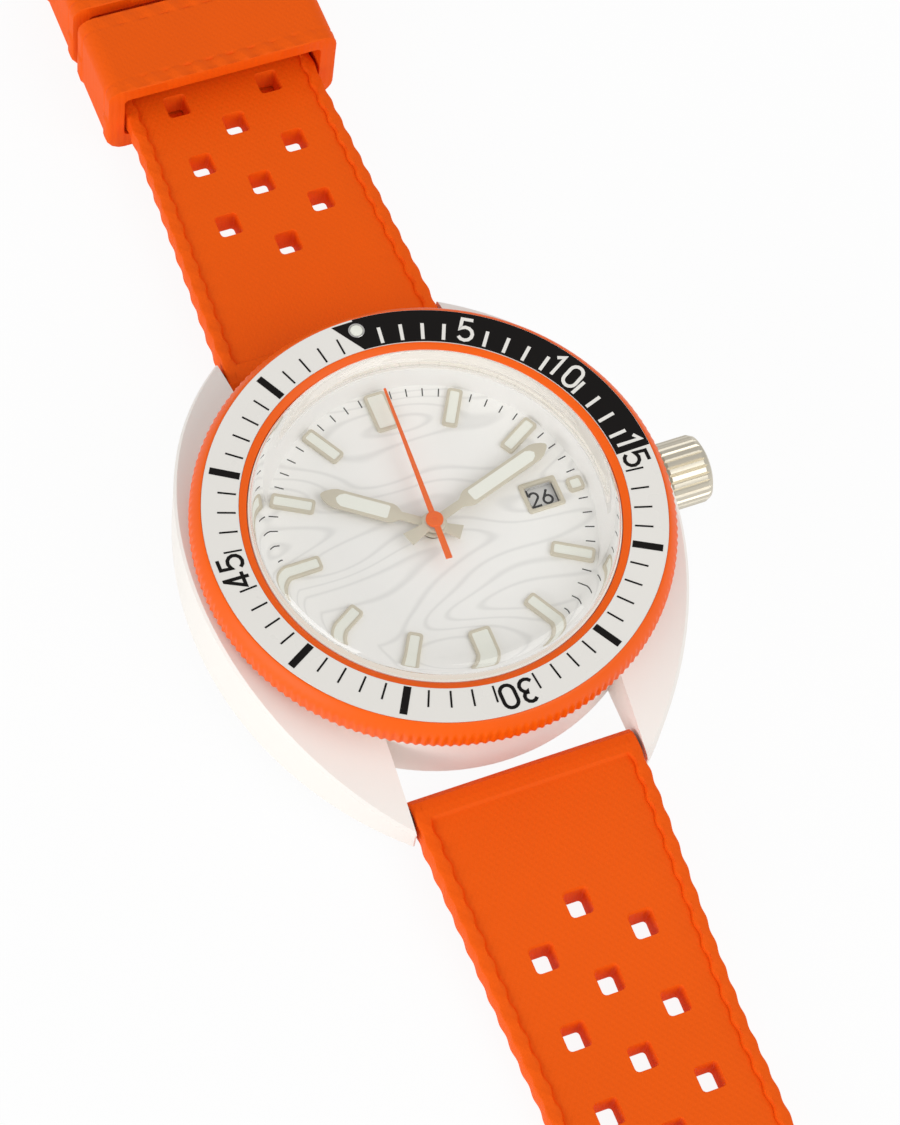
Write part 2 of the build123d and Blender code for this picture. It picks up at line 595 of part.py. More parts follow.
def third_wheel():
    """Third wheel and its pinion, side by side with the centre."""
    x, y = THIRD_AT
    pinion_phase = mesh_phase(THIRD_TEETH, 0, FOURTH_PINION, THIRD_ANGLE + 180)
    body = gear(THIRD_TEETH, TRAIN_MODULE, 4.2, 4.35, x, y, 0)
    body += gear(THIRD_PINION, CENTRE_MODULE, 4.35, 4.78, x, y, pinion_phase)
    return body + cylinder_z(PIVOT_R, BRIDGE_Z[0], PLATE_BOTTOM + 0.4, x, y)


def seconds_wheel():
    """Seconds wheel with its pinion and the long arbor that carries the seconds hand."""
    wheel_phase = mesh_phase(FIFTH_PINION, FIFTH_ANGLE + 180, FOURTH_TEETH, FIFTH_ANGLE + 180)
    pinion_phase = mesh_phase(THIRD_TEETH, 0, FOURTH_PINION, THIRD_ANGLE + 180)
    body = gear(FOURTH_TEETH, FOURTH_MODULE, 3.95, 4.1, 0, 0, wheel_phase)
    body += gear(FOURTH_PINION, TRAIN_MODULE, 4.1, 4.45, 0, 0, pinion_phase)
    body += cylinder_z(PIVOT_R, BRIDGE_Z[0], 3.95)
    return body + cylinder_z(SECOND_ARBOR_R, 4.45, SECOND_Z + HAND_T - 0.02)


def fifth_wheel():
    """Wheel between the rotor and the seconds wheel."""
    x, y = FIFTH_AT
    body = gear(FIFTH_TEETH, TRAIN_MODULE, 3.66, 3.8, x, y, ROTOR_ANGLE)
    body += gear(FIFTH_PINION, FOURTH_MODULE, 3.8, 4.15, x, y, FIFTH_ANGLE + 180)
    return body + cylinder_z(PIVOT_R, BRIDGE_Z[0], PLATE_BOTTOM + 0.4, x, y)


def rotor():
    """Step motor rotor: a small magnet, its pinion and arbor."""
    x, y = ROTOR_AT
    phase = mesh_phase(FIFTH_TEETH, ROTOR_ANGLE, ROTOR_TEETH, ROTOR_ANGLE)
    body = gear(ROTOR_TEETH, TRAIN_MODULE, 3.64, 3.95, x, y, phase)
    body += cylinder_z(0.6, 3.95, 4.65, x, y)
    return body + cylinder_z(PIVOT_R, BRIDGE_Z[0], PLATE_BOTTOM + 0.4, x, y)


def stator():
    """Soft iron plate around the rotor, with two arms up to the coil."""
    y = ROTOR_AT[1]
    body = block(-5.0, 5.0, y - 1.15, y + 1.15, 4.2, 4.5)
    for side in (-1, 1):
        body += block(side * 4.3 - 0.7, side * 4.3 + 0.7, y + 1.0, COIL_Y + 0.7, 4.2, 4.5)
    return body - cylinder_z(0.8, 0, 10, *ROTOR_AT)


def coil():
    """Winding on its core, resting on the stator's arms."""
    body = cylinder_x(0.62, -3.3, 3.3, COIL_Y, 4.22)
    core = block(-4.7, 4.7, COIL_Y - 0.4, COIL_Y + 0.4, 3.95, 4.2)
    return body + core


def circuit_board():
    """Thin board under the bridge, cut round the battery and the screws."""
    z1 = BRIDGE_Z[0]
    z0 = z1 - 0.15
    body = cylinder_z(MOVEMENT_R - 1.6, z0, z1)
    body -= cylinder_z(BATTERY_R + 0.3, 0, 10, 0, BATTERY_Y)
    body -= block(-20, 20, -20, -3.3, 0, 10)
    body -= block(6.2, 20, -20, 20, 0, 10)
    for x, y in SCREW_AT:
        body -= cylinder_z(SCREW_R + 0.2, 0, 10, x, y)
    for x, y in (THIRD_AT, FIFTH_AT, ROTOR_AT, (0, 0)):
        body -= cylinder_z(PIVOT_R + 0.2, 0, 10, x, y)
    return body


def quartz_can():
    """Quartz crystal in its metal can, on the board's underside."""
    z = BRIDGE_Z[0] - 0.15 - 0.5
    return Pos(-6.5, 3.5, z) * Rot(90, 0, 0) * Cylinder(0.5, 4.5)


def battery():
    """Button cell."""
    return cylinder_z(BATTERY_R, PLATE_BOTTOM - BATTERY_H, PLATE_BOTTOM, 0, BATTERY_Y)


def battery_clamp():
    """Spring strip that holds the cell against the plate."""
    z1 = PLATE_BOTTOM - BATTERY_H
    body = block(-0.9, 0.9, BATTERY_Y - BATTERY_R + 0.3, BATTERY_Y + BATTERY_R + 1.2, z1 - 0.15, z1)
    return body + block(-0.9, 0.9, BATTERY_Y + BATTERY_R + 0.6, BATTERY_Y + BATTERY_R + 1.2, z1, BRIDGE_Z[0])


# ---------------------------------------------------------------- movement: motion works
def cannon_pinion():
    """Pinion and tube that carry the minute hand."""
    body = gear(CANNON_TEETH, MOTION_MODULE, PLATE_TOP + 0.03, PLATE_TOP + 0.2, 0, 0, MINUTE_WHEEL_ANGLE)
    body += cylinder_z(CANNON_R, 4.9, MINUTE_Z + HAND_T)
    return body - cylinder_z(SECOND_ARBOR_R + RUN, 0, 20)


def minute_wheel():
    """Wheel between the cannon pinion and the hour wheel."""
    x, y = MINUTE_AT
    phase = mesh_phase(CANNON_TEETH, MINUTE_WHEEL_ANGLE, MINUTE_TEETH, MINUTE_WHEEL_ANGLE)
    body = gear(MINUTE_TEETH, MOTION_MODULE, PLATE_TOP + 0.03, PLATE_TOP + 0.2, x, y, phase)
    body += gear(MINUTE_PINION, HOUR_MODULE, PLATE_TOP + 0.2, PLATE_TOP + 0.45, x, y, MINUTE_WHEEL_ANGLE)
    return body + cylinder_z(PIVOT_R, PLATE_BOTTOM + 0.3, PLATE_TOP + 0.03, x, y)


def hour_wheel():
    """Wheel and tube that carry the hour hand."""
    phase = mesh_phase(MINUTE_PINION, MINUTE_WHEEL_ANGLE, HOUR_TEETH, MINUTE_WHEEL_ANGLE + 180)
    body = gear(HOUR_TEETH, HOUR_MODULE, PLATE_TOP + 0.25, PLATE_TOP + 0.42, 0, 0, phase)
    body += cylinder_z(HOUR_TUBE_R, PLATE_TOP + 0.42, HOUR_Z + HAND_T)
    return body - cylinder_z(CANNON_R + RUN, 0, 20)


def setting_wheel():
    """Wheel that takes the crown's turn to the minute wheel."""
    x, y = SETTING_AT
    start = mesh_phase(CANNON_TEETH, MINUTE_WHEEL_ANGLE, MINUTE_TEETH, MINUTE_WHEEL_ANGLE)
    phase = mesh_phase(MINUTE_TEETH, start, SETTING_TEETH, SETTING_ANGLE)
    body = gear(SETTING_TEETH, MOTION_MODULE, PLATE_TOP + 0.03, PLATE_TOP + 0.2, x, y, phase)
    return body + cylinder_z(PIVOT_R, PLATE_BOTTOM + 1.05, PLATE_TOP + 0.03, x, y)


def date_wheel():
    """Wheel that turns once a day and moves the date disc with its finger."""
    x, y = DATE_AT
    hour_phase = mesh_phase(MINUTE_PINION, MINUTE_WHEEL_ANGLE, HOUR_TEETH, MINUTE_WHEEL_ANGLE + 180)
    phase = mesh_phase(HOUR_TEETH, hour_phase, DATE_WHEEL_TEETH, DATE_ANGLE)
    body = gear(DATE_WHEEL_TEETH, HOUR_MODULE, PLATE_TOP + 0.25, PLATE_TOP + 0.42, x, y, phase)
    finger = block(-0.3, 1.6, -0.25, 0.25, DATE_RING_Z[0], DATE_RING_Z[1])
    body += Pos(x, y, 0) * Rot(0, 0, DATE_ANGLE + 180) * finger
    body += cylinder_z(0.4, PLATE_TOP + 0.42, DATE_RING_Z[1], x, y)
    return body + cylinder_z(PIVOT_R, PLATE_BOTTOM + 0.3, PLATE_TOP + 0.3, x, y)


def date_disc():
    """Date ring with 31 inner teeth."""
    z0, z1 = DATE_RING_Z
    step = 360 / 31
    inner = []
    for i in range(31):
        a = i * step
        inner += [polar(DATE_RING_INNER_R + 0.6, a - 0.3 * step), polar(DATE_RING_INNER_R, a - 0.12 * step),
                  polar(DATE_RING_INNER_R, a + 0.12 * step), polar(DATE_RING_INNER_R + 0.6, a + 0.3 * step)]
    return cylinder_z(DATE_RING_OUTER_R, z0, z1) - plate(inner, z0 - 1, z1 + 1)


# ---------------------------------------------------------------- crown and keyless works
def winding_stem():
    """Stem with a pilot, a square for the sliding pinion and a groove for the lever."""
    pilot = cylinder_x(GROOVE_R, 3.7, 4.5, 0, STEM_Z)
    square = Pos(6.0, 0, STEM_Z) * Box(3.2, 0.74, 0.74)
    shaft = cylinder_x(STEM_R, 7.4, GROOVE_X[0], 0, STEM_Z)
    groove = cylinder_x(GROOVE_R, GROOVE_X[0], GROOVE_X[1], 0, STEM_Z)
    rest = cylinder_x(STEM_R, GROOVE_X[1], CROWN_X[1] - 0.6, 0, STEM_Z)
    return pilot + square + shaft + groove + rest


def sliding_pinion():
    """Pinion with a square hole that the stem turns and slides through."""
    x0, x1 = PINION_X
    body = cylinder_x(1.0, x0, x1, 0, STEM_Z) - tube_x(0.8, 2.0, x0 + 0.6, x1 - 0.5, 0, STEM_Z)
    for i in range(10):
        tooth = block(x0 - 0.15, x0 + 0.1, -0.09, 0.09, 0.62, 0.98)
        body += Pos(0, 0, STEM_Z) * Rot(i * 36, 0, 0) * tooth
    return body - Pos((x0 + x1) / 2, 0, STEM_Z) * Box(4, 0.84, 0.84)


def setting_lever():
    """Lever whose pin sits in the stem's groove and swings when the crown is pulled."""
    x, y = LEVER_AT
    z0, z1 = 5.3, 5.55
    arm = block(x - 0.35, x + 0.35, -0.2, y, z0, z1)
    eye = cylinder_z(0.55, z0, z1, x, y)
    pin = cylinder_z(0.14, STEM_Z + GROOVE_R + 0.06, z0, x, 0)
    return arm + eye + pin + cylinder_z(PIVOT_R, z1, PLATE_TOP - 0.05, x, y)


def crown_tube():
    """Tube pressed in the case, which the crown slides over."""
    return tube_x(TUBE_BORE_R, TUBE_R, TUBE_X[0], TUBE_X[1], 0, STEM_Z)


def crown():
    """Fluted crown, open behind for its gasket and screwed on the stem."""
    x0, x1 = CROWN_X
    depth = TUBE_X[1] + 0.15
    outline = [(0, x0), (CROWN_R - 0.25, x0), (CROWN_R, x0 + 0.25), (CROWN_R, x1 - 0.7),
               (CROWN_R - 0.2, x1 - 0.25), (CROWN_R - 0.7, x1), (0, x1)]
    body = revolve(make_face(Polyline([(r, 0, h) for r, h in outline], close=True)), Axis.Z, 360)
    for i in range(CROWN_FLUTES):
        flute = Pos(CROWN_R + 0.02, 0, x0 + 1.9) * Rot(0, 0, 45) * Box(0.24, 0.24, 3.8)
        body -= Rot(0, 0, i * 360 / CROWN_FLUTES) * flute
    body = Pos(0, 0, STEM_Z) * Rot(0, 90, 0) * body
    body -= cylinder_x(CROWN_BORE_R, x0 - 1, depth, 0, STEM_Z)
    return body - cylinder_x(STEM_R, x0 - 1, x1 - 0.6, 0, STEM_Z)


def crown_gasket():
    """Ring in the crown that rubs on the tube."""
    return tube_x(TUBE_R + 0.04, CROWN_BORE_R, CROWN_X[0] + 0.45, CROWN_X[0] + 1.05, 0, STEM_Z)


# ---------------------------------------------------------------- strap
def strap_plan(y_end, corner):
    """Plan outline of a strap that runs from the spring bar along +Y."""
    y0 = BAR_Y - STRAP_END_R - 1
    wide, narrow = STRAP_WIDTH / 2, STRAP_NARROW / 2
    face = make_face(Polyline([(-wide, y0, 0), (wide, y0, 0), (wide, TAPER_Y[0], 0), (narrow, TAPER_Y[1], 0),
                               (narrow, y_end - corner, 0), (narrow - corner, y_end, 0),
                               (corner - narrow, y_end, 0), (-narrow, y_end - corner, 0),
                               (-narrow, TAPER_Y[1], 0), (-wide, TAPER_Y[0], 0)], close=True))
    return extrude(face, 12, dir=(0, 0, 1), both=True)


def strap_side(bottom_far, y_end):
    """Side outline of a strap: round eye at the spring bar, then down to its resting height."""
    top_near, top_far = BAR_Z + STRAP_END_R, bottom_far + STRAP_T
    low_near = BAR_Z - STRAP_END_R
    y1, y2 = SETTLE_Y
    reach = y2 - y1
    upper = Spline([(0, BAR_Y, top_near), (0, y1, top_near - 0.05), (0, y2, top_far)],
                   tangents=[(0, 1, 0), (0, 1, 0)])
    lower = Spline([(0, y2, bottom_far), (0, y1, low_near + (bottom_far - low_near) * 0.12),
                    (0, BAR_Y, low_near)], tangents=[(0, -1, 0), (0, -1, 0)])
    eye = ThreePointArc((0, BAR_Y, low_near), (0, BAR_Y - STRAP_END_R, BAR_Z), (0, BAR_Y, top_near))
    tail = Polyline([(0, y2, top_far), (0, y_end, top_far), (0, y_end, bottom_far), (0, y2, bottom_far)])
    face = make_face([upper, tail, lower, eye])
    width = STRAP_WIDTH / 2 + 1
    return extrude(face, width, dir=(1, 0, 0), both=True)


def hole_rows(rows):
    """Plan centres of the strap's holes: a centre column and two offset side columns."""
    centres = []
    for i in range(rows):
        centres.append((0, HOLE_FIRST_Y + i * HOLE_PITCH))
        for side in (-1, 1):
            centres.append((side * HOLE_COLUMN_X, HOLE_FIRST_Y + (i + 0.5) * HOLE_PITCH))
    return centres


def hole_cutter(rows):
    """All holes of one strap as rounded blocks."""
    sketch = Sketch() + [Pos(x, y, 0) * RectangleRounded(HOLE_W, HOLE_L, HOLE_CORNER)
                         for x, y in hole_rows(rows)]
    return extrude(sketch, 12, dir=(0, 0, 1), both=True)


def strap(bottom_far, y_end, corner, rows):
    """Strap along +Y with its holes and the spring bar hole."""
    body = strap_side(bottom_far, y_end) & strap_plan(y_end, corner)
    body -= hole_cutter(rows)
    return body - cylinder_x(BAR_R + RUN, -20, 20, BAR_Y, BAR_Z)


def buckle_y():
    """Hinge bar of the buckle."""
    return BAR_Y + SHORT_LENGTH


def buckle_z():
    """Height of the buckle's hinge bar, in the middle of the strap."""
    return SHORT_BOTTOM + STRAP_T / 2


def strap_short():
    """Strap with the buckle: three rows of holes and an eye slotted for the tongue."""
    y_end = buckle_y() + STRAP_T / 2
    body = strap(SHORT_BOTTOM, y_end, 0.4, SHORT_HOLE_ROWS)
    body -= cylinder_x(BUCKLE_BAR_R + RUN, -20, 20, buckle_y(), buckle_z())
    slot = block(-TONGUE_SLOT_W / 2, TONGUE_SLOT_W / 2, buckle_y() - 3.2, y_end + 1, -5, 10)
    return body - slot


def strap_long():
    """Strap with the row of buckle holes and a tapered tip."""
    body = strap(0.0, BAR_Y + LONG_LENGTH, 4.5, LONG_HOLE_ROWS)
    return Rot(0, 0, 180) * body


def keeper(y0):
    """Rubber loop around the strap with room for the other strap above it."""
    half_in = STRAP_NARROW / 2 + KEEPER_SLACK
    half_out = half_in + KEEPER_WALL
    outer = block(-half_out, half_out, y0, y0 + KEEPER_LENGTH, 0, KEEPER_TOP)
    outer = fillet(outer.edges().filter_by(Axis.Y), 0.7)
    return outer - block(-half_in, half_in, y0 - 1, y0 + KEEPER_LENGTH + 1,
                         SHORT_BOTTOM - KEEPER_SLACK, KEEPER_TOP - KEEPER_ROOF)


# ---------------------------------------------------------------- spring bars
def spring_bar_tube(side):
    """Hollow barrel of a spring bar, between the lugs."""
    half = LUG_GAP / 2 - 0.5
    body = cylinder_x(BAR_R, -half, half, side * BAR_Y, BAR_Z)
    for end in (-1, 1):
        x0, x1 = sorted((end * (half - 4.5), end * (half + 1)))
        body -= cylinder_x(TIP_R + RUN, x0, x1, side * BAR_Y, BAR_Z)
    return body


def spring_bar_tip(side, end):
    """Sprung tip of a spring bar: a pin with a collar, in the lug's hole."""
    outer = LUG_GAP / 2 + TIP_TRAVEL - 0.1
    inner = LUG_GAP / 2 - 0.5 - 2.6
    x0, x1 = sorted((end * inner, end * outer))
    return cylinder_x(TIP_R, x0, x1, side * BAR_Y, BAR_Z)


# ---------------------------------------------------------------- buckle
def buckle_drop():
    """Angle by which the buckle lies down to the table, in degrees."""
    return degrees(asin((buckle_z() - BUCKLE_WIRE_R) / BUCKLE_REACH))


def lay_down(shape):
    """Turns a piece from the buckle's own plane down to the table, about the hinge bar."""
    return Pos(0, buckle_y(), buckle_z()) * Rot(-buckle_drop(), 0, 0) * shape


def buckle_frame():
    """Steel frame: two side arms with eyes and a round front bar."""
    half_in = BUCKLE_INNER / 2
    arm_t = 1.8
    body = cylinder_x(BUCKLE_WIRE_R, -half_in - arm_t, half_in + arm_t, BUCKLE_REACH, 0)
    for side in (-1, 1):
        x0, x1 = sorted((side * half_in, side * (half_in + arm_t)))
        body += block(x0, x1, 0, BUCKLE_REACH, -BUCKLE_WIRE_R, BUCKLE_WIRE_R)
        body += cylinder_x(1.4, x0, x1, 0, 0)
        body -= cylinder_x(BUCKLE_BAR_R, x0 - 0.1, x1 + 0.1, 0, 0)
    return lay_down(body)


def buckle_bar():
    """Hinge bar held in the frame's two eyes."""
    half = BUCKLE_INNER / 2 + 1.8
    return lay_down(cylinder_x(BUCKLE_BAR_R, -half, half, 0, 0))


def buckle_tongue():
    """Tongue that swings on the hinge bar and rests on the front bar."""
    top = BUCKLE_WIRE_R + 0.02
    eye = tube_x(BUCKLE_BAR_R + RUN, BUCKLE_BAR_R + TONGUE_T, -TONGUE_W / 2, TONGUE_W / 2)
    start = (0.6, BUCKLE_BAR_R + 0.15)
    outline = [(start[0], start[1]), (BUCKLE_REACH - 1.5, top), (BUCKLE_REACH + 1.0, top),
               (BUCKLE_REACH + 1.0, top + TONGUE_T * 0.6), (BUCKLE_REACH - 1.5, top + TONGUE_T),
               (start[0], start[1] + TONGUE_T)]
    face = make_face(Polyline([(0, y, z) for y, z in outline], close=True))
    blade = extrude(face, TONGUE_W / 2, dir=(1, 0, 0), both=True)
    blade -= cylinder_x(BUCKLE_BAR_R + RUN, -5, 5, 0, 0)
    return lay_down(eye + blade)


# ---------------------------------------------------------------- write every node
def nodes():
    """Every node's name and shape."""
    made = {
        "case_middle": case_middle(), "case_back": case_back(), "case_back_gasket": case_back_gasket(),
        "crystal": crystal(), "crystal_gasket": crystal_gasket(), "flange": flange(),
        "bezel_ring": bezel_ring(), "bezel_insert": bezel_insert(), "bezel_pip": pip_blank(),
        "bezel_click_spring": bezel_click_spring(), "bezel_snap_wire": bezel_snap_wire(),
        "dial_plate": dial_plate(), "hour_markers": hour_markers(), "marker_lume": marker_lume(),
        "date_window_frame": date_window_frame(), "date_disc": date_disc(),
        "hour_hand": hour_hand(), "minute_hand": minute_hand(), "seconds_hand": seconds_hand(),
        "main_plate": main_plate(), "train_bridge": train_bridge(), "date_plate": date_plate(),
        "movement_screws": movement_screws(), "movement_holder": movement_holder(),
        "centre_wheel": centre_wheel(), "third_wheel": third_wheel(), "seconds_wheel": seconds_wheel(),
        "fifth_wheel": fifth_wheel(), "rotor": rotor(), "stator": stator(), "coil": coil(),
        "circuit_board": circuit_board(), "quartz_can": quartz_can(), "battery": battery(),
        "battery_clamp": battery_clamp(), "cannon_pinion": cannon_pinion(),
        "minute_wheel": minute_wheel(), "hour_wheel": hour_wheel(), "setting_wheel": setting_wheel(),
        "date_wheel": date_wheel(), "winding_stem": winding_stem(), "sliding_pinion": sliding_pinion(),
        "setting_lever": setting_lever(), "crown_tube": crown_tube(), "crown": crown(),
        "crown_gasket": crown_gasket(), "strap_short": strap_short(), "strap_long": strap_long(),
        "keeper_front": keeper(KEEPER_Y[0]), "keeper_rear": keeper(KEEPER_Y[1]),
        "buckle_frame": buckle_frame(), "buckle_bar": buckle_bar(), "buckle_tongue": buckle_tongue(),
        "spring_bar_12": spring_bar_tube(1), "spring_bar_6": spring_bar_tube(-1),
    }
    for clock, side in (("12", 1), ("6", -1)):
        for name, end in (("crown_side", 1), ("far_side", -1)):
            made[f"spring_tip_{clock}_{name}"] = spring_bar_tip(side, end)
    return made


os.makedirs("parts", exist_ok=True)
for node_name, node_shape in nodes().items():
    save(node_name, node_shape)
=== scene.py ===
# %% [markdown]
# # A dive watch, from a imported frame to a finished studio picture
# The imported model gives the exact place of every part. This lesson dresses it: cases and wheels keep
# their own shape and get a finish, while the strap, bezel, crystal, dial furniture and hands are
# modelled again with the detail that a plain solid lacks. All lengths below are written in
# millimetres, as a watchmaker writes them, and scaled to metres when a piece is finished.

# %% Load the frame
from math import atan2, cos, hypot, pi, radians, sin

import bmesh
import bpy
from mathutils import Matrix, Vector


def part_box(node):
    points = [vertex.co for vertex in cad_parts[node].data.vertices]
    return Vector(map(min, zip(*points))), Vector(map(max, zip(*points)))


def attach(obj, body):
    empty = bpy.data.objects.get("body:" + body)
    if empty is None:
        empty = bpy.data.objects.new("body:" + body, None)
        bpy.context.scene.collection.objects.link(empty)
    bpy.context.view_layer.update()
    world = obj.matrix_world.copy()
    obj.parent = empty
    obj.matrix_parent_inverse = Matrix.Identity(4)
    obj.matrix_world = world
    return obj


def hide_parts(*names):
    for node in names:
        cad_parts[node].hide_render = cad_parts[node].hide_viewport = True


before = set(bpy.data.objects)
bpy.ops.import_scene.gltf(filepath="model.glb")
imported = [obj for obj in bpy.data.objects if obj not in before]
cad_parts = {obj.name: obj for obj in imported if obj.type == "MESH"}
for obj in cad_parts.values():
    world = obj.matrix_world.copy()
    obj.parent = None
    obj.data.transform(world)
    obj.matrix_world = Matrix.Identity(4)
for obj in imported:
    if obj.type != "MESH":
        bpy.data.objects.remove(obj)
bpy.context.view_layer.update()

MM = 0.001

# %% [markdown]
# ## Sizes that several pieces share
# Each is a size of the real watch. The heights are measured from the table, on which the case back
# rests.

# %% Shared sizes


def node_box(node):
    """Lowest and highest corner of a frame node, in millimetres."""
    low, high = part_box(node)
    return low / MM, high / MM


INSERT_INNER_R = 15.97
INSERT_OUTER_R = 18.98
INSERT_TOP = node_box("bezel_insert")[1].z
INSERT_DIP = 0.14               # how much lower the insert's inner edge lies
BEZEL_R = node_box("bezel_ring")[1].x
BEZEL_BOTTOM = node_box("bezel_ring")[0].z
CRYSTAL_R = node_box("crystal")[1].x
CRYSTAL_TOP = node_box("crystal")[1].z
DIAL_TOP = node_box("dial_plate")[1].z
BAR_Y = 21.3
BAR_Z = (node_box("spring_bar_12")[0].z + node_box("spring_bar_12")[1].z) / 2
print("insert top", round(INSERT_TOP, 2), "dial top", round(DIAL_TOP, 2), "bar height", round(BAR_Z, 2))

# %% [markdown]
# ## Helpers for meshes
# A bmesh is a mesh under construction. Every piece starts from a small primitive or a few vertices, is
# shaped by operators, and is then handed to one function that scales it to metres, gives it smooth
# faces with crisp edges and ties it to the body that carries it.

# %% Mesh helpers


def place(name, mesh, material, body, stands_for=()):
    """Adds a finished mesh as a piece that rides on a body."""
    piece = bpy.data.objects.new(name, mesh)
    bpy.context.scene.collection.objects.link(piece)
    mesh.materials.append(material)
    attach(piece, body)
    if stands_for:
        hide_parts(*stands_for)
    return piece


def to_mesh(bm, name, crisp=35.0):
    """Closes a bmesh in millimetres into a mesh in metres."""
    bmesh.ops.remove_doubles(bm, verts=bm.verts, dist=0.0005)
    bmesh.ops.recalc_face_normals(bm, faces=bm.faces)
    bmesh.ops.scale(bm, vec=(MM, MM, MM), verts=bm.verts)
    mesh = bpy.data.meshes.new(name)
    bm.to_mesh(mesh)
    bm.free()
    mesh.shade_smooth()
    mesh.set_sharp_from_angle(angle=radians(crisp))
    print(name, len(mesh.polygons), "faces")
    return mesh


def lathe(points, steps, closed=True):
    """Turns a (radius, height) outline about the dial axis."""
    bm = bmesh.new()
    verts = [bm.verts.new((r, 0, z)) for r, z in points]
    edges = [bm.edges.new(pair) for pair in zip(verts, verts[1:])]
    if closed:
        edges.append(bm.edges.new((verts[-1], verts[0])))
    bmesh.ops.spin(bm, geom=verts + edges, axis=(0, 0, 1), cent=(0, 0, 0), angle=2 * pi,
                   steps=steps, use_merge=True)
    return bm


def arc(cx, cy, r, start, end, steps):
    """Points of an arc in a plan or a section, angles in degrees."""
    turn = [start + (end - start) * i / steps for i in range(steps + 1)]
    return [(cx + r * cos(radians(a)), cy + r * sin(radians(a))) for a in turn]


def smooth(t):
    """Eases from 0 to 1."""
    t = min(max(t, 0.0), 1.0)
    return t * t * (3 - 2 * t)


def clock(minute):
    """Plan direction of a minute, as an angle from +X in degrees."""
    return 90 - 6 * minute


def join_loops(bm, loops, around=False):
    """Joins loops of equal length one after the other, and the last to the first if it goes around."""
    pairs = list(zip(loops, loops[1:])) + ([(loops[-1], loops[0])] if around else [])
    for a, b in pairs:
        for i in range(len(a)):
            j = (i + 1) % len(a)
            bm.faces.new((a[i], a[j], b[j], b[i]))


def raise_faces(bm, faces, height):
    """Extrudes flat faces upwards and returns the vertices of their new top."""
    grown = bmesh.ops.extrude_face_region(bm, geom=faces)["geom"]
    raised = [v for v in grown if isinstance(v, bmesh.types.BMVert)]
    bmesh.ops.translate(bm, vec=(0, 0, height), verts=raised)
    return raised


def flat_plate(bm, outline, z0, z1):
    """Adds a closed plate with a plan outline between two heights."""
    verts = [bm.verts.new((x, y, z0)) for x, y in outline]
    return verts + raise_faces(bm, [bm.faces.new(verts)], z1 - z0)


# %% [markdown]
# ## Helpers for finishes
# Every finish is a Principled surface. A noise on Object coordinates shifts its colour and roughness a
# little, and a second, finer one gives the bump, so that even a plain coating has the life of a real one.

# %% Finish helpers


def tone(red, green, blue):
    """A colour written as 0 to 255 display values, made linear for the renderer."""
    def linear(value):
        value /= 255
        return value / 12.92 if value <= 0.04045 else ((value + 0.055) / 1.055) ** 2.4
    return (linear(red), linear(green), linear(blue), 1.0)


def node_of(material, kind, **settings):
    """Adds a shader node and sets its properties."""
    made = material.node_tree.nodes.new(kind)
    for key, value in settings.items():
        setattr(made, key, value)
    return made


def finish(name, colour, roughness, metallic=0.0, specular=0.5, speckle=0.04, grain=0.15,
           grain_scale=6000.0, coat=0.0, coat_roughness=0.1, sheen=0.0):
    """A surface with slight colour and roughness variation and a fine grain."""
    material = bpy.data.materials.new(name)
    material.use_nodes = True
    shader = material.node_tree.nodes["Principled BSDF"]
    links = material.node_tree.links
    shader.inputs["Metallic"].default_value = metallic
    shader.inputs["Specular IOR Level"].default_value = specular
    shader.inputs["Coat Weight"].default_value = coat
    shader.inputs["Coat Roughness"].default_value = coat_roughness
    shader.inputs["Sheen Weight"].default_value = sheen
    where = node_of(material, "ShaderNodeTexCoord")
    broad = node_of(material, "ShaderNodeTexNoise")
    broad.inputs["Scale"].default_value = grain_scale / 25
    broad.inputs["Detail"].default_value = 4.0
    links.new(where.outputs["Object"], broad.inputs["Vector"])
    mix = node_of(material, "ShaderNodeMix", data_type="RGBA")
    mix.inputs["A"].default_value = [c * (1 - speckle) for c in colour[:3]] + [1.0]
    mix.inputs["B"].default_value = [min(c * (1 + speckle), 1.0) for c in colour[:3]] + [1.0]
    links.new(broad.outputs["Fac"], mix.inputs["Factor"])
    links.new(mix.outputs["Result"], shader.inputs["Base Color"])
    spread = node_of(material, "ShaderNodeMapRange")
    spread.inputs["To Min"].default_value = roughness * 0.9
    spread.inputs["To Max"].default_value = min(roughness * 1.1, 1.0)
    links.new(broad.outputs["Fac"], spread.inputs["Value"])
    links.new(spread.outputs["Result"], shader.inputs["Roughness"])
    fine = node_of(material, "ShaderNodeTexNoise")
    fine.inputs["Scale"].default_value = grain_scale
    fine.inputs["Detail"].default_value = 2.0
    links.new(where.outputs["Object"], fine.inputs["Vector"])
    bump = node_of(material, "ShaderNodeBump")
    bump.inputs["Strength"].default_value = grain
    bump.inputs["Distance"].default_value = 0.00002
    links.new(fine.outputs["Fac"], bump.inputs["Height"])
    links.new(bump.outputs["Normal"], shader.inputs["Normal"])
    return material


def brushed(name, colour, roughness, stretch):
    """Metal with fine parallel scratches; the smallest scale in stretch is the way they run."""
    material = finish(name, colour, roughness, metallic=1.0, speckle=0.08, grain=0.1)
    nodes = material.node_tree.nodes
    links = material.node_tree.links
    where = [n for n in nodes if n.type == "TEX_COORD"][0]
    mapping = node_of(material, "ShaderNodeMapping")
    mapping.inputs["Scale"].default_value = stretch
    links.new(where.outputs["Object"], mapping.inputs["Vector"])
    for noise in [n for n in nodes if n.type == "TEX_NOISE"]:
        links.new(mapping.outputs["Vector"], noise.inputs["Vector"])
    return material


def coat_node(material, *names):
    """Gives frame nodes a finish."""
    for name in names:
        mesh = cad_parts[name].data
        mesh.materials.clear()
        mesh.materials.append(material)
    print(material.name, "on", ", ".join(names))


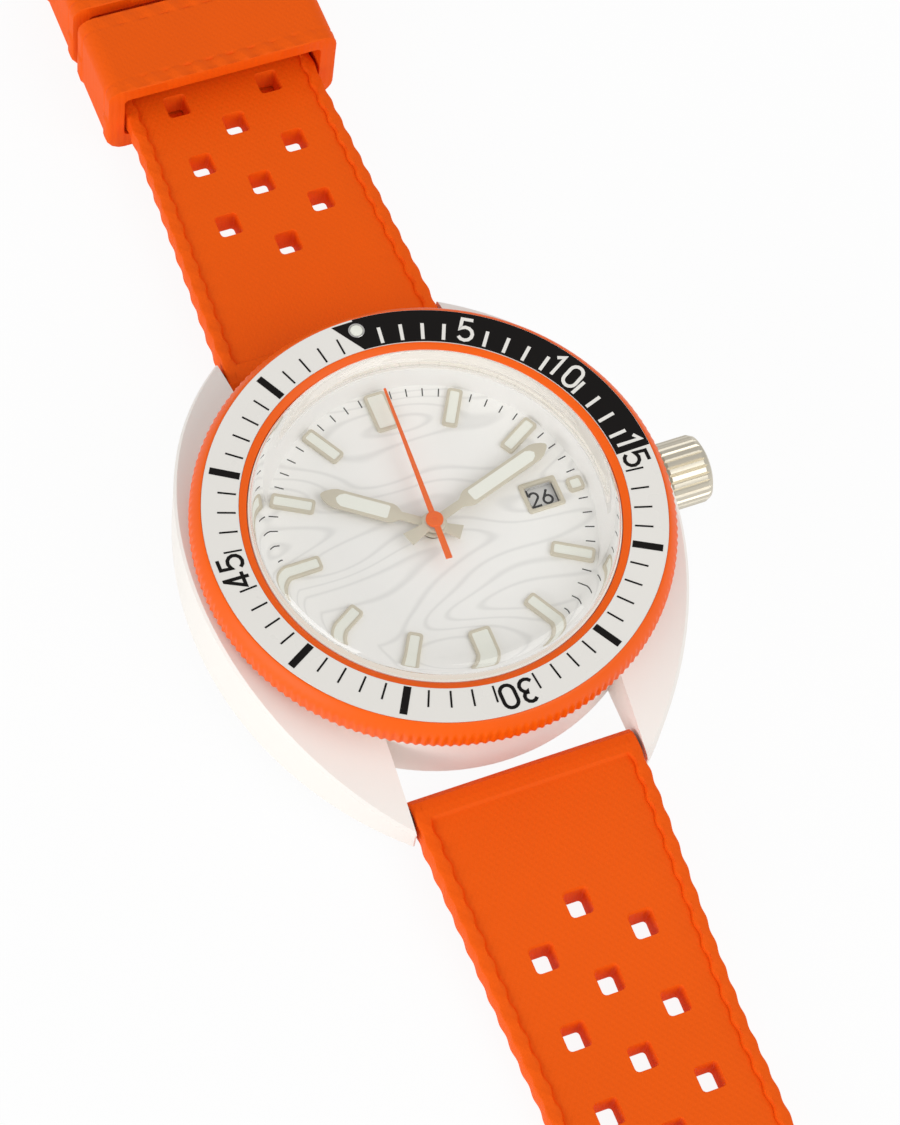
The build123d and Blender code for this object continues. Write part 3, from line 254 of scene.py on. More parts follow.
# %% [markdown]
# ## Camera
# The picture is taken from the lower left of the dial, well above it, with a long lens that keeps the
# case's proportions. The camera looks at a point beside the centre of the dial and is rolled a little,
# so that the watch lies across the frame.

# %% Camera
EYE = Vector((-69.695, -113.020, 247.520))
AIM = Vector((-0.788, -4.866, 11.8))
ROLL = 11.873
camera = bpy.data.objects.new("camera", bpy.data.cameras.new("camera"))
bpy.context.scene.collection.objects.link(camera)
camera.data.lens = 107.19
camera.data.sensor_width = 36.0
camera.data.clip_start = 0.01
camera.data.clip_end = 10.0
look = (AIM - EYE).to_track_quat("-Z", "Y").to_matrix().to_4x4()
camera.matrix_world = Matrix.Translation(EYE * MM) @ look @ Matrix.Rotation(radians(ROLL), 4, "Z")
bpy.context.scene.camera = camera
print("camera distance", round((EYE - AIM).length, 1), "mm")

# %% [markdown]
# ## Light and table
# The watch lies on a bright white table under an even white sky. A large soft lamp on the left and close
# to the table lights the near walls of the strap, as a studio reflector does. A second one in front and
# to the right lifts the coated case; it stands where the crystal's top doesn't mirror it into the camera,
# because that would lay a white veil over the dial. The table glows a little, and more of what the
# camera sees of it is glow, so the ground is white and the shadow stays, but faint.

# %% Light and table
SKY_LIGHT = 0.62
LEFT_REFLECTOR = ((-620, -160, 60), 0.5, 3.0)       # place in millimetres, width in metres, watts
FRONT_SOFTBOX = ((330, -420, 560), 0.6, 2.1)
TABLE_GLOW = 0.52               # share of the table's light that is its own glow
SEEN_GLOW = 0.40                # what is added to that share where the camera sees the table
TABLE_TOP = -0.02
bpy.context.scene.view_settings.view_transform = "Standard"
sky = bpy.data.worlds.new("sky")
bpy.context.scene.world = sky
sky.use_nodes = True
sky_nodes = sky.node_tree.nodes
sky_light = sky_nodes["Background"]
sky_light.inputs["Color"].default_value = (1.0, 1.0, 1.0, 1.0)
sky_light.inputs["Strength"].default_value = SKY_LIGHT
sky_seen = sky_nodes.new("ShaderNodeBackground")
sky_seen.inputs["Color"].default_value = (1.0, 1.0, 1.0, 1.0)
sky_seen.inputs["Strength"].default_value = 1.0
sky_mix = sky_nodes.new("ShaderNodeMixShader")
sky_path = sky_nodes.new("ShaderNodeLightPath")
sky.node_tree.links.new(sky_path.outputs["Is Camera Ray"], sky_mix.inputs["Fac"])
sky.node_tree.links.new(sky_light.outputs["Background"], sky_mix.inputs[1])
sky.node_tree.links.new(sky_seen.outputs["Background"], sky_mix.inputs[2])
sky.node_tree.links.new(sky_mix.outputs["Shader"], sky_nodes["World Output"].inputs["Surface"])


def lamp(name, place_mm, size, watts):
    """A square soft lamp that faces the watch."""
    data = bpy.data.lights.new(name, "AREA")
    data.size = size
    data.energy = watts
    light = bpy.data.objects.new(name, data)
    bpy.context.scene.collection.objects.link(light)
    turn = (-Vector(place_mm)).to_track_quat("-Z", "Y").to_matrix().to_4x4()
    light.matrix_world = Matrix.Translation(Vector(place_mm) * MM) @ turn


lamp("left_reflector", *LEFT_REFLECTOR)
lamp("front_softbox", *FRONT_SOFTBOX)

table_material = bpy.data.materials.new("table_white")
table_material.use_nodes = True
table_nodes = table_material.node_tree.nodes
table_links = table_material.node_tree.links
table_shader = table_nodes["Principled BSDF"]
table_shader.inputs["Base Color"].default_value = (0.92, 0.92, 0.92, 1.0)
table_shader.inputs["Roughness"].default_value = 0.9
table_glow = table_nodes.new("ShaderNodeEmission")
table_glow.inputs["Strength"].default_value = 1.0
table_path = table_nodes.new("ShaderNodeLightPath")
seen = table_nodes.new("ShaderNodeMath")
seen.operation = "MAXIMUM"
table_links.new(table_path.outputs["Is Camera Ray"], seen.inputs[0])
table_links.new(table_path.outputs["Is Transmission Ray"], seen.inputs[1])
share = table_nodes.new("ShaderNodeMath")
share.operation = "MULTIPLY"
share.inputs[1].default_value = SEEN_GLOW
table_links.new(seen.outputs["Value"], share.inputs[0])
table_mix = table_nodes.new("ShaderNodeMixShader")
lit = table_nodes.new("ShaderNodeMath")
lit.operation = "ADD"
lit.inputs[1].default_value = TABLE_GLOW
table_links.new(share.outputs["Value"], lit.inputs[0])
table_links.new(lit.outputs["Value"], table_mix.inputs["Fac"])
table_links.new(table_shader.outputs["BSDF"], table_mix.inputs[1])
table_links.new(table_glow.outputs["Emission"], table_mix.inputs[2])
table_links.new(table_mix.outputs["Shader"], table_nodes["Material Output"].inputs["Surface"])

table_bm = bmesh.new()
bmesh.ops.create_grid(table_bm, x_segments=2, y_segments=2, size=1500)
bmesh.ops.translate(table_bm, vec=(0, 0, TABLE_TOP), verts=table_bm.verts)
bmesh.ops.scale(table_bm, vec=(MM, MM, MM), verts=table_bm.verts)
table_mesh = bpy.data.meshes.new("table")
table_bm.to_mesh(table_mesh)
table_bm.free()
table = bpy.data.objects.new("table", table_mesh)
bpy.context.scene.collection.objects.link(table)
table_mesh.materials.append(table_material)
print("table at", round(table_mesh.vertices[0].co.z / MM, 3), "mm, lamps:", len(bpy.data.lights))

# %% [markdown]
# ## Bezel ring
# The grip ring of a dive bezel is turned, then its rim is cut with fine flutes so that a wet finger can
# turn it. Here the outline is spun about the dial axis and each flute is pressed into the rim as a soft
# wave that runs out below the smooth shoulder.

# %% Bezel ring
orange_gloss = finish("bezel_orange", tone(244, 96, 6), 0.4, specular=0.22, speckle=0.03, grain=0.05)
FLUTES = 180
FLUTE_DEPTH = 0.15
FLUTE_STEPS = 6
FLUTE_TOP = 10.75
FLUTE_FADE = 0.35
outline = [(17.3, BEZEL_BOTTOM + 0.02), (19.55, BEZEL_BOTTOM + 0.02), (19.82, 9.14), (BEZEL_R - 0.02, 9.32),
           (BEZEL_R - 0.01, 9.7), (BEZEL_R - 0.01, 10.1), (BEZEL_R - 0.02, 10.4), (19.90, 10.6),
           (19.82, 10.78), (19.70, 11.0), (19.52, 11.28), (19.34, 11.52), (19.2, 11.68), (19.1, 11.76),
           (19.04, 11.79), (19.00, 11.77), (18.995, 11.72), (18.995, 11.36), (15.95, 11.22), (15.95, 11.6),
           (15.93, 11.63), (15.88, 11.62), (15.36, 11.36), (15.31, 11.31), (15.30, 11.25), (15.30, 10.64),
           (17.3, 10.64)]
ring = lathe(outline, FLUTES * FLUTE_STEPS)
for vert in ring.verts:
    r = hypot(vert.co.x, vert.co.y)
    if r > 19.5 and vert.co.z < FLUTE_TOP + FLUTE_FADE:
        wave = 0.5 - 0.5 * cos(FLUTES * atan2(vert.co.y, vert.co.x))
        depth = FLUTE_DEPTH * wave * (1 - smooth((vert.co.z - FLUTE_TOP + FLUTE_FADE) / (2 * FLUTE_FADE)))
        vert.co.x *= 1 - depth / r
        vert.co.y *= 1 - depth / r
place("bezel_grip", to_mesh(ring, "bezel_grip", 50), orange_gloss, "bezel",
      ("bezel_ring",))

# %% [markdown]
# ## Bezel insert
# The insert is a thin ring printed in two colours. A quarter of it is black from the triangle to the
# fifteen minute mark, the usual zone for timing a dive. The prints are modelled as skins far thinner
# than a hair, lying on the sloping face: first the black field, then ticks, bars and numerals.

# %% Insert body and print helpers


def insert_z(r):
    """Height of the insert's sloping face."""
    return INSERT_TOP - INSERT_DIP * (INSERT_OUTER_R - r) / (INSERT_OUTER_R - INSERT_INNER_R)


insert_white = finish("insert_white", tone(236, 233, 227), 0.28, speckle=0.015, grain=0.03)
print_black = finish("print_black", tone(20, 17, 16), 0.45, specular=0.12, speckle=0.1, grain=0.03)
insert = lathe([(INSERT_INNER_R, 11.25), (INSERT_OUTER_R, 11.38), (INSERT_OUTER_R, INSERT_TOP - 0.02),
                (INSERT_OUTER_R - 0.02, INSERT_TOP), (INSERT_INNER_R + 0.02, insert_z(INSERT_INNER_R)),
                (INSERT_INNER_R, insert_z(INSERT_INNER_R) - 0.02)], 360)
place("insert_body", to_mesh(insert, "insert_body"), insert_white, "bezel",
      ("bezel_insert",))


def lay_on_insert(bm, lift, skin=0.006):
    """Sets a flat print on the sloping face; vertices above zero are its upper side."""
    for vert in bm.verts:
        r = hypot(vert.co.x, vert.co.y)
        vert.co.z = insert_z(r) + lift + (skin if vert.co.z > 0 else 0)


def sector(bm, r0, r1, start, end, steps):
    """Adds a flat piece of a ring between two angles."""
    inner, outer = arc(0, 0, r0, start, end, steps), arc(0, 0, r1, start, end, steps)
    low = [[bm.verts.new((x, y, 0)) for x, y in side] for side in (inner, outer)]
    faces = [bm.faces.new((low[0][i], low[1][i], low[1][i + 1], low[0][i + 1])) for i in range(steps)]
    raise_faces(bm, faces, 1)


def bar(bm, angle, r0, r1, width):
    """Adds a flat radial bar."""
    out = Vector((cos(radians(angle)), sin(radians(angle))))
    side = Vector((-out.y, out.x)) * width / 2
    corners = [out * r0 - side, out * r1 - side, out * r1 + side, out * r0 + side]
    flat_plate(bm, [(c.x, c.y) for c in corners], 0, 1)


# %% [markdown]
# ## Numerals
# The digits are drawn the way an engraver's stylus draws them: each is one line of constant width. The
# line is thickened to both sides, with its corners mitred, and cut out as a thin plate.

# %% Digits
DIGIT_WIDTH = 0.56              # of the digit's height
DIGIT_GAP = 0.24                # between two digits, of their height


def digit_line(digit):
    """Centre line of a digit in a cell one unit high, and whether it closes on itself."""
    w, top = DIGIT_WIDTH, 0.28
    ring_low = arc(w / 2, top, w / 2, 180, 360, 8)
    if digit == "0":
        return ring_low + arc(w / 2, 1 - top, w / 2, 0, 180, 8), True
    if digit == "1":
        return [(0.06, 0.78), (w / 2 + 0.04, 1.0), (w / 2 + 0.04, 0.0)], False
    if digit == "2":
        return arc(w / 2, 1 - top, w / 2, 170, -30, 8) + [(0.0, 0.03), (w + 0.02, 0.03)], False
    if digit == "3":
        return (arc(w / 2, 0.76, 0.24, 150, -80, 7) + arc(w / 2, top, w / 2, 80, -150, 8)), False
    if digit == "4":
        return [(w + 0.06, 0.24), (0.0, 0.24), (0.36, 1.0), (0.38, 1.0), (0.38, 0.0)], False
    if digit == "5":
        return ([(w - 0.03, 0.97), (0.08, 0.97), (0.05, 0.52)] + arc(w / 2, 0.31, 0.30, 125, -150, 9)), False
    if digit == "6":
        return ([(w * 0.72, 1.0)] + arc(w / 2, 0.30, 0.29, 165, 525, 14)), False
    if digit == "7":
        return [(0.0, 0.97), (w, 0.97), (0.16, 0.0)], False
    if digit == "8":
        return (arc(w / 2, 0.76, 0.23, -90, 90, 7) + arc(w / 2, 0.76, 0.23, 90, 270, 7)[1:]
                + arc(w / 2, 0.27, 0.27, 90, -90, 7)[1:] + arc(w / 2, 0.27, 0.27, -90, -270, 7)[1:-1]), True
    return ([(w * 0.28, 0.0)] + arc(w / 2, 0.70, 0.29, -15, 345, 14)), False


def offset_line(points, width, closed):
    """Left and right sides of a line of constant width, with mitred corners."""
    count = len(points)
    sides = []
    for i, point in enumerate(points):
        before = Vector(points[i - 1] if i or closed else point)
        after = Vector(points[(i + 1) % count] if i < count - 1 or closed else point)
        here = Vector(point)
        d0 = (here - before).normalized() if (here - before).length > 0 else None
        d1 = (after - here).normalized() if (after - here).length > 0 else None
        d0, d1 = d0 or d1, d1 or d0
        bisector = (d0 + d1).normalized()
        normal = Vector((-bisector.y, bisector.x))
        stretch = 1 / max(normal.dot(Vector((-d0.y, d0.x))), 0.5)
        sides.append((here + normal * width / 2 * stretch, here - normal * width / 2 * stretch))
    return sides


def write(bm, text, height, width, at, turn, z0=0.0, z1=1.0, gap=DIGIT_GAP):
    """Adds the digits of a number, centred on a plan point and turned by an angle in degrees."""
    step = DIGIT_WIDTH + gap
    total = step * len(text) - gap
    rotate = Matrix.Rotation(radians(turn), 2)
    for index, digit in enumerate(text):
        line, closed = digit_line(digit)
        line = [((x + index * step - total / 2) * height, (y - 0.5) * height) for x, y in line]
        sides = offset_line(line, width, closed)
        low = [[bm.verts.new(((rotate @ p).x + at[0], (rotate @ p).y + at[1], z0)) for p in pair]
               for pair in sides]
        pairs = list(zip(low, low[1:])) + ([(low[-1], low[0])] if closed else [])
        faces = [bm.faces.new((a[0], a[1], b[1], b[0])) for a, b in pairs]
        raise_faces(bm, faces, z1 - z0)


def put_print(name, bm, material, lift):
    """Finishes one colour of the insert's print."""
    lay_on_insert(bm, lift)
    place(name, to_mesh(bm, name), material, "bezel")


# %% [markdown]
# ## Insert print
# Black first, then white on the black field. The ticks are finer on the white part. On the watch the triangle
# at twelve is half black and half white, because the black field starts on its centre line; only its black
# half is drawn. The fifteen
# stands across the field's end, so its one is white and its five black.

# %% Insert print
FIELD_R = (16.0, 18.95)
TICK_R = (16.2, 17.7)
TICK_W = {"black": 0.16, "white": 0.30}
BAR_R = (16.1, 18.6)
BAR_W = 0.62
FIELD_LIFT = 0.002
MARK_LIFT = 0.012
NUMERAL_R = 17.42
NUMERAL_H = 2.05
NUMERAL_STROKE = 0.30
TRIANGLE = [(-1.9, 18.75), (0.0, 18.8), (0.0, 16.05)]


def numeral(bm, minute):
    """Adds a minute's number, upright towards the rim."""
    angle = clock(minute)
    at = (NUMERAL_R * cos(radians(angle)), NUMERAL_R * sin(radians(angle)))
    write(bm, str(minute), NUMERAL_H, NUMERAL_STROKE, at, angle - 90)


field = bmesh.new()
sector(field, *FIELD_R, 0, 90, 90)
put_print("print_field", field, print_black, FIELD_LIFT)

black = bmesh.new()
flat_plate(black, TRIANGLE[::-1], 0, 1)
for minute in range(15, 60):
    if minute % 5:
        bar(black, clock(minute), *TICK_R, TICK_W["black"])
for minute in range(20, 60, 5):
    if minute not in (30, 45):
        bar(black, clock(minute), *BAR_R, BAR_W)
for minute in (30, 45):
    numeral(black, minute)
HALF_STEP = (DIGIT_WIDTH + DIGIT_GAP) / 2 * NUMERAL_H
write(black, "5", NUMERAL_H, NUMERAL_STROKE, (NUMERAL_R, -HALF_STEP), -90)
put_print("print_black_marks", black, print_black, MARK_LIFT)

white = bmesh.new()
for minute in range(1, 15):
    if minute % 5:
        bar(white, clock(minute), *TICK_R, TICK_W["white"])
for minute in (5, 10):
    numeral(white, minute)
write(white, "1", NUMERAL_H, NUMERAL_STROKE, (NUMERAL_R, HALF_STEP), -90)
put_print("print_white_marks", white, insert_white, MARK_LIFT)

# %% [markdown]
# ## Pip
# A luminous pip marks zero on the bezel, so that a diver finds it in the dark. It is a small turned
# steel cup, pressed into the insert, with a drop of the same paint as on the dial.

# %% Pip
pip_steel = finish("pip_steel", tone(205, 203, 200), 0.25, metallic=1.0, speckle=0.05)
lume_white = finish("lume", tone(240, 241, 230), 0.55, specular=0.2, speckle=0.015, grain=0.1)
PIP_R = 0.7
PIP_FOOT = -0.3                 # below the insert's face
PIP_AT = Vector((0, 17.87, 0))
pip_base = insert_z(PIP_AT.y)
for name, rows, material, slot in (
        ("pip_cup", [(0.0, PIP_FOOT), (PIP_R - 0.02, PIP_FOOT), (PIP_R - 0.02, 0.08), (PIP_R - 0.07, 0.11),
                     (PIP_R - 0.14, 0.10), (PIP_R - 0.17, 0.04), (0.0, 0.03)], pip_steel, "steel"),
        ("pip_lume", [(0.0, 0.0), (PIP_R - 0.16, 0.0), (PIP_R - 0.19, 0.07), (0.3, 0.10), (0.0, 0.11)],
         lume_white, "lume")):
    pip = lathe(rows, 48)
    bmesh.ops.translate(pip, vec=PIP_AT + Vector((0, 0, pip_base)), verts=pip.verts)
    place(name, to_mesh(pip, name, 50), material, "bezel", ("bezel_pip",) if name == "pip_cup" else ())

# %% [markdown]
# ## Crystal
# A box crystal stands well above the bezel on a short wall and is only slightly domed. Its rounded
# shoulder bends what lies under it, which is why the nearest markers look broken at the rim. The glass is
# a solid with two faces and a real refractive index. Light that only comes to brighten the dial is let
# straight through, since a path tracer would otherwise leave the dial in shadow. Where a ray has bounced
# more than a few times inside the glass, the glass shows a painted pale glow instead, which stands in for
# light that enters by the steep wall and is guided between the two faces.

# %% Crystal
COATED_GLASS = 0.2              # a weaker mirror than bare glass, as on a coated crystal
# painted light: past this many bounces the glass shows a flat pale glow instead of refracting
PAINTED_GLOW_AFTER_BOUNCES = 3.5
glass = bpy.data.materials.new("crystal_glass")
glass.use_nodes = True
glass_links = glass.node_tree.links
glass_shader = glass.node_tree.nodes["Principled BSDF"]
glass_shader.inputs["Base Color"].default_value = (1.0, 1.0, 1.0, 1.0)
glass_shader.inputs["Roughness"].default_value = 0.0
glass_shader.inputs["IOR"].default_value = 1.52
glass_shader.inputs["Transmission Weight"].default_value = 1.0
through = node_of(glass, "ShaderNodeBsdfTransparent")
glass_path = node_of(glass, "ShaderNodeLightPath")
either = node_of(glass, "ShaderNodeMath", operation="MAXIMUM")
glass_links.new(glass_path.outputs["Is Shadow Ray"], either.inputs[0])
glass_links.new(glass_path.outputs["Is Diffuse Ray"], either.inputs[1])
glass_shader.inputs["Specular IOR Level"].default_value = COATED_GLASS
painted_glow_mask = node_of(glass, "ShaderNodeMath", operation="GREATER_THAN")
painted_glow_mask.inputs[1].default_value = PAINTED_GLOW_AFTER_BOUNCES
glass_links.new(glass_path.outputs["Ray Depth"], painted_glow_mask.inputs[0])
# painted glow: a pale emission in the glass that stands in for light guided through its wall
painted_glass_glow = node_of(glass, "ShaderNodeEmission")
painted_glass_glow.inputs["Color"].default_value = tone(226, 220, 208)
painted_glow_mix = node_of(glass, "ShaderNodeMixShader")
glass_links.new(painted_glow_mask.outputs["Value"], painted_glow_mix.inputs["Fac"])
glass_links.new(glass_shader.outputs["BSDF"], painted_glow_mix.inputs[1])
glass_links.new(painted_glass_glow.outputs["Emission"], painted_glow_mix.inputs[2])
glass_mix = node_of(glass, "ShaderNodeMixShader")
glass_links.new(either.outputs["Value"], glass_mix.inputs["Fac"])
glass_links.new(painted_glow_mix.outputs["Shader"], glass_mix.inputs[1])
glass_links.new(through.outputs["BSDF"], glass_mix.inputs[2])
glass_links.new(glass_mix.outputs["Shader"], glass.node_tree.nodes["Material Output"].inputs["Surface"])

GLASS_SEAT = 9.42               # foot of the crystal in its gasket
GLASS_STEP = 10.56              # shoulder that rests on the gasket's rim
GLASS_NECK_R = 14.69            # outside of the wall below that step
GLASS_BORE_R = 14.30            # inside of the wall
CRYSTAL_UNDER = 10.2
SHOULDER_R = 1.3
DOME = 0.06
shoulder = arc(CRYSTAL_R - SHOULDER_R, CRYSTAL_TOP - DOME - SHOULDER_R, SHOULDER_R, 90, 0, 10)
dome = [(r, CRYSTAL_TOP - DOME * (r / (CRYSTAL_R - SHOULDER_R)) ** 2) for r in (0.0, 3.0, 6.0, 9.0, 11.5)]
crystal_outline = dome + shoulder + [(CRYSTAL_R, GLASS_STEP + 0.01), (GLASS_NECK_R, GLASS_STEP),
                                     (GLASS_NECK_R, GLASS_SEAT), (GLASS_BORE_R + 0.01, GLASS_SEAT),
                                     (GLASS_BORE_R, CRYSTAL_UNDER), (0.0, CRYSTAL_UNDER)]
crystal_mesh = to_mesh(lathe(crystal_outline, 180, closed=False), "crystal_glass", 25)
place("crystal_glass", crystal_mesh, glass, "root", ("crystal",))

# %% [markdown]
# ## Crystal gasket
# The crystal is pressed into a nylon ring with an L-shaped section. A thin collar of it rises between the
# glass and the bezel's lip, and is seen through the rounded shoulder as a pale band around the dial.

# %% Crystal gasket
nylon = finish("nylon", tone(243, 238, 228), 0.45, speckle=0.02, grain=0.03)
COLLAR_R = (GLASS_NECK_R + 0.02, CRYSTAL_R + 0.02, 15.24)
COLLAR_TOP = 11.26
collar = lathe([(COLLAR_R[0], GLASS_SEAT), (COLLAR_R[2] - 0.02, GLASS_SEAT), (COLLAR_R[2], GLASS_SEAT + 0.08),
                (COLLAR_R[2], COLLAR_TOP - 0.04), (COLLAR_R[2] - 0.04, COLLAR_TOP), (COLLAR_R[1], COLLAR_TOP),
                (COLLAR_R[1], GLASS_STEP - 0.01), (COLLAR_R[0], GLASS_STEP - 0.02)], 180)
place("gasket_collar", to_mesh(collar, "gasket_collar"), nylon, "root", ("crystal_gasket",))

# %% [markdown]
# ## Dial
# The dial is a lacquered brass plate with a faint pearl shimmer. Fine contour lines, like those of a sea
# chart, run over it: the level lines of a smooth noise, a shade darker than the ground.

# %% Dial finish
dial_white = finish("dial_pearl", tone(248, 247, 243), 0.42, specular=0.25, speckle=0.01, grain=0.02)


LINES_STRETCH = (0.5, 1.6, 1.0)  # the lines run further across the dial than along it


def contour_lines(material, scale, levels, width, strength):
    """Darkens a finish along the level lines of a smooth noise."""
    nodes, links = material.node_tree.nodes, material.node_tree.links
    shader = nodes["Principled BSDF"]
    where = [n for n in nodes if n.type == "TEX_COORD"][0]
    relief = node_of(material, "ShaderNodeTexNoise")
    relief.inputs["Scale"].default_value = scale
    relief.inputs["Detail"].default_value = 1.0
    stretch = node_of(material, "ShaderNodeMapping")
    stretch.inputs["Scale"].default_value = LINES_STRETCH
    links.new(where.outputs["Object"], stretch.inputs["Vector"])
    links.new(stretch.outputs["Vector"], relief.inputs["Vector"])
    many = node_of(material, "ShaderNodeMath", operation="MULTIPLY")
    many.inputs[1].default_value = levels
    links.new(relief.outputs["Fac"], many.inputs[0])
    fold = node_of(material, "ShaderNodeMath", operation="PINGPONG")
    fold.inputs[1].default_value = 0.5
    links.new(many.outputs["Value"], fold.inputs[0])
    line = node_of(material, "ShaderNodeMapRange", interpolation_type="SMOOTHSTEP")
    line.inputs["From Min"].default_value = 0.0
    line.inputs["From Max"].default_value = width
    line.inputs["To Min"].default_value = 1 - strength
    line.inputs["To Max"].default_value = 1.0
    links.new(fold.outputs["Value"], line.inputs["Value"])
    base = shader.inputs["Base Color"].links[0].from_socket
    shade = node_of(material, "ShaderNodeMix", data_type="RGBA", blend_type="MULTIPLY")
    shade.inputs["Factor"].default_value = 1.0
    links.new(base, shade.inputs["A"])
    links.new(line.outputs["Result"], shade.inputs["B"])
    links.new(shade.outputs["Result"], shader.inputs["Base Color"])


contour_lines(dial_white, 90.0, 16.0, 0.2, 0.12)
coat_node(dial_white, "dial_plate")
flange_white = finish("flange_white", tone(240, 239, 236), 0.5, speckle=0.01, grain=0.02)
coat_node(flange_white, "flange")

# %% [markdown]
# ## Minute track and applied markers
# A minute track is printed at the edge of the dial. The hour markers are small frames cut from brass,
# coated cream, with rounded corners and a soft edge; each holds a drop of luminous paint that dries a
# little below the rim.

# %% Minute track
TRACK_R = (12.55, 13.3)
TRACK_LINE = 0.10
track = bmesh.new()
for minute in range(60):
    if minute % 5:
        bar(track, clock(minute), *TRACK_R, TRACK_LINE)
for vert in track.verts:
    vert.co.z = DIAL_TOP + (0.008 if vert.co.z > 0 else 0.001)
place("minute_track", to_mesh(track, "minute_track"), print_black, "root")

# %% Marker finish and helpers
marker_cream = finish("marker_cream", tone(208, 201, 182), 0.32, metallic=0.25, speckle=0.02, grain=0.05)


def rounded_box(x0, x1, y0, y1, r, steps=4):
    """Plan outline of a rectangle with round corners."""
    return (arc(x1 - r, y0 + r, r, -90, 0, steps) + arc(x1 - r, y1 - r, r, 0, 90, steps)
            + arc(x0 + r, y1 - r, r, 90, 180, steps) + arc(x0 + r, y0 + r, r, 180, 270, steps))


def framed_plate(bm, outline, hole, z0, z1, floor_z, edge):
    """Adds a plate whose top has a soft rim around a sunk floor."""

    def loop(points, z):
        return [bm.verts.new((x, y, z)) for x, y in points]

    def towards(points, goal, share):
        return [(a[0] + (b[0] - a[0]) * share, a[1] + (b[1] - a[1]) * share) for a, b in zip(points, goal)]

    loops = [loop(outline, z0), loop(outline, z1 - edge), loop(towards(outline, hole, 0.08), z1 - edge * 0.3),
             loop(towards(outline, hole, 0.25), z1), loop(towards(outline, hole, 0.75), z1),
             loop(towards(outline, hole, 0.92), z1 - edge * 0.3), loop(hole, z1 - edge),
             loop(hole, floor_z)]
    join_loops(bm, loops)
    bm.faces.new(loops[0][::-1])
    bm.faces.new(loops[-1])


def turned_plan(points, angle):
    """Turns plan points about the dial axis."""
    c, s = cos(radians(angle)), sin(radians(angle))
    return [(x * c - y * s, x * s + y * c) for x, y in points]


# %% [markdown]
# ## Setting the markers
# Twelve frames are drawn on the same radius and turned to their hour. Those at six and twelve are wider,
# and the one at three is cut short to leave room for the date window.

# %% Hour markers
MARKER_R = (9.75, 13.35)
SHORT_MARKER_R = 12.02          # inner end of the marker beside the date
MARKER_TOP = node_box("hour_markers")[1].z
MARKER_HALF = 0.65
WIDE_MARKER_HALF = 0.95
MARKER_RIM = 0.26
MARKER_CORNER = 0.28
MARKER_EDGE = 0.06              # rounding of the rim, and how far the paint lies below it
frames_bm, fills_bm = bmesh.new(), bmesh.new()
for hour in range(12):
    inner_r = SHORT_MARKER_R if hour == 3 else MARKER_R[0]
    half = WIDE_MARKER_HALF if hour in (0, 6) else MARKER_HALF
    outer_line = rounded_box(inner_r, MARKER_R[1], -half, half, MARKER_CORNER)
    inner_line = rounded_box(inner_r + MARKER_RIM, MARKER_R[1] - MARKER_RIM, MARKER_RIM - half,
                             half - MARKER_RIM, MARKER_CORNER / 2)
    angle = clock(5 * hour)
    outer_line, inner_line = turned_plan(outer_line, angle), turned_plan(inner_line, angle)
    framed_plate(frames_bm, outer_line, inner_line, DIAL_TOP, MARKER_TOP, DIAL_TOP + MARKER_EDGE,
                 MARKER_EDGE)
    flat_plate(fills_bm, inner_line, DIAL_TOP + MARKER_EDGE, MARKER_TOP - MARKER_EDGE)
place("marker_frames", to_mesh(frames_bm, "marker_frames", 40), marker_cream, "root",
      ("hour_markers",))
place("marker_fills", to_mesh(fills_bm, "marker_fills"), lume_white, "root", ("marker_lume",))

# %% [markdown]
# ## Date
# The date disc is one grey plate with all thirty-one numbers, of which the window shows one. The number
# that stands in the window reads upright, so each number is turned by its place on the disc.

# %% Date disc and window
date_grey = finish("date_grey", tone(214, 213, 210), 0.55, speckle=0.02, grain=0.03)
coat_node(date_grey, "date_disc")
DATE_TOP = node_box("date_disc")[1].z
WINDOW_X = 9.7
WINDOW_HALF = (1.2, 0.975)
DATE_SHOWN = 26
DAYS = 31
DATE_H = 1.32
DATE_STROKE = 0.2
numbers = bmesh.new()
for number in range(1, DAYS + 1):
    angle = (number - DATE_SHOWN) * 360 / DAYS
    at = (WINDOW_X * cos(radians(angle)), WINDOW_X * sin(radians(angle)))
    write(numbers, str(number), DATE_H, DATE_STROKE, at, angle, DATE_TOP + 0.002, DATE_TOP + 0.01, gap=0.26)
place("date_numbers", to_mesh(numbers, "date_numbers"), print_black, "date_disc")

low, high = node_box("date_window_frame")
window = bmesh.new()
ring_out = rounded_box(low.x, high.x, low.y, high.y, 0.2)
ring_in = rounded_box(WINDOW_X - WINDOW_HALF[0], WINDOW_X + WINDOW_HALF[0], -WINDOW_HALF[1], WINDOW_HALF[1],
                      0.08)
loops = []
for share, z in ((0.0, low.z), (0.0, high.z - 0.05), (0.2, high.z), (0.7, high.z), (1.0, low.z),
                 (1.0, low.z - 0.35)):
    loops.append([window.verts.new((a[0] + (b[0] - a[0]) * share, a[1] + (b[1] - a[1]) * share, z))
                  for a, b in zip(ring_out, ring_in)])
join_loops(window, loops, around=True)
place("date_frame", to_mesh(window, "date_frame", 40), marker_cream, "root",
      ("date_window_frame",))

# %% [markdown]
# ## Hands
# The hour and minute hands are stamped as swords with a window for luminous paint. They are coated cream
# and sit one above the other; the thin orange seconds hand is on top. Each is drawn along twelve o'clock
# and turned to its time.

# %% Hand helpers


def sword(length, neck_end, body, tail, tail_width, neck=0.72, tip=1.25):
    """Plan outline of a sword hand along +Y, with a rounded point."""
    half = body / 2
    right = [(tail_width / 2, -tail), (neck / 2 + 0.05, -1.0), (neck / 2, neck_end - 0.25),
             (half - 0.12, neck_end + 0.25), (half, neck_end + 0.6), (half, length - tip),
             (half * 0.82, length - tip * 0.62), (half * 0.45, length - tip * 0.22),
             (half * 0.16, length - 0.05)]
    return right + [(0.0, length)] + [(-x, y) for x, y in right[::-1]]


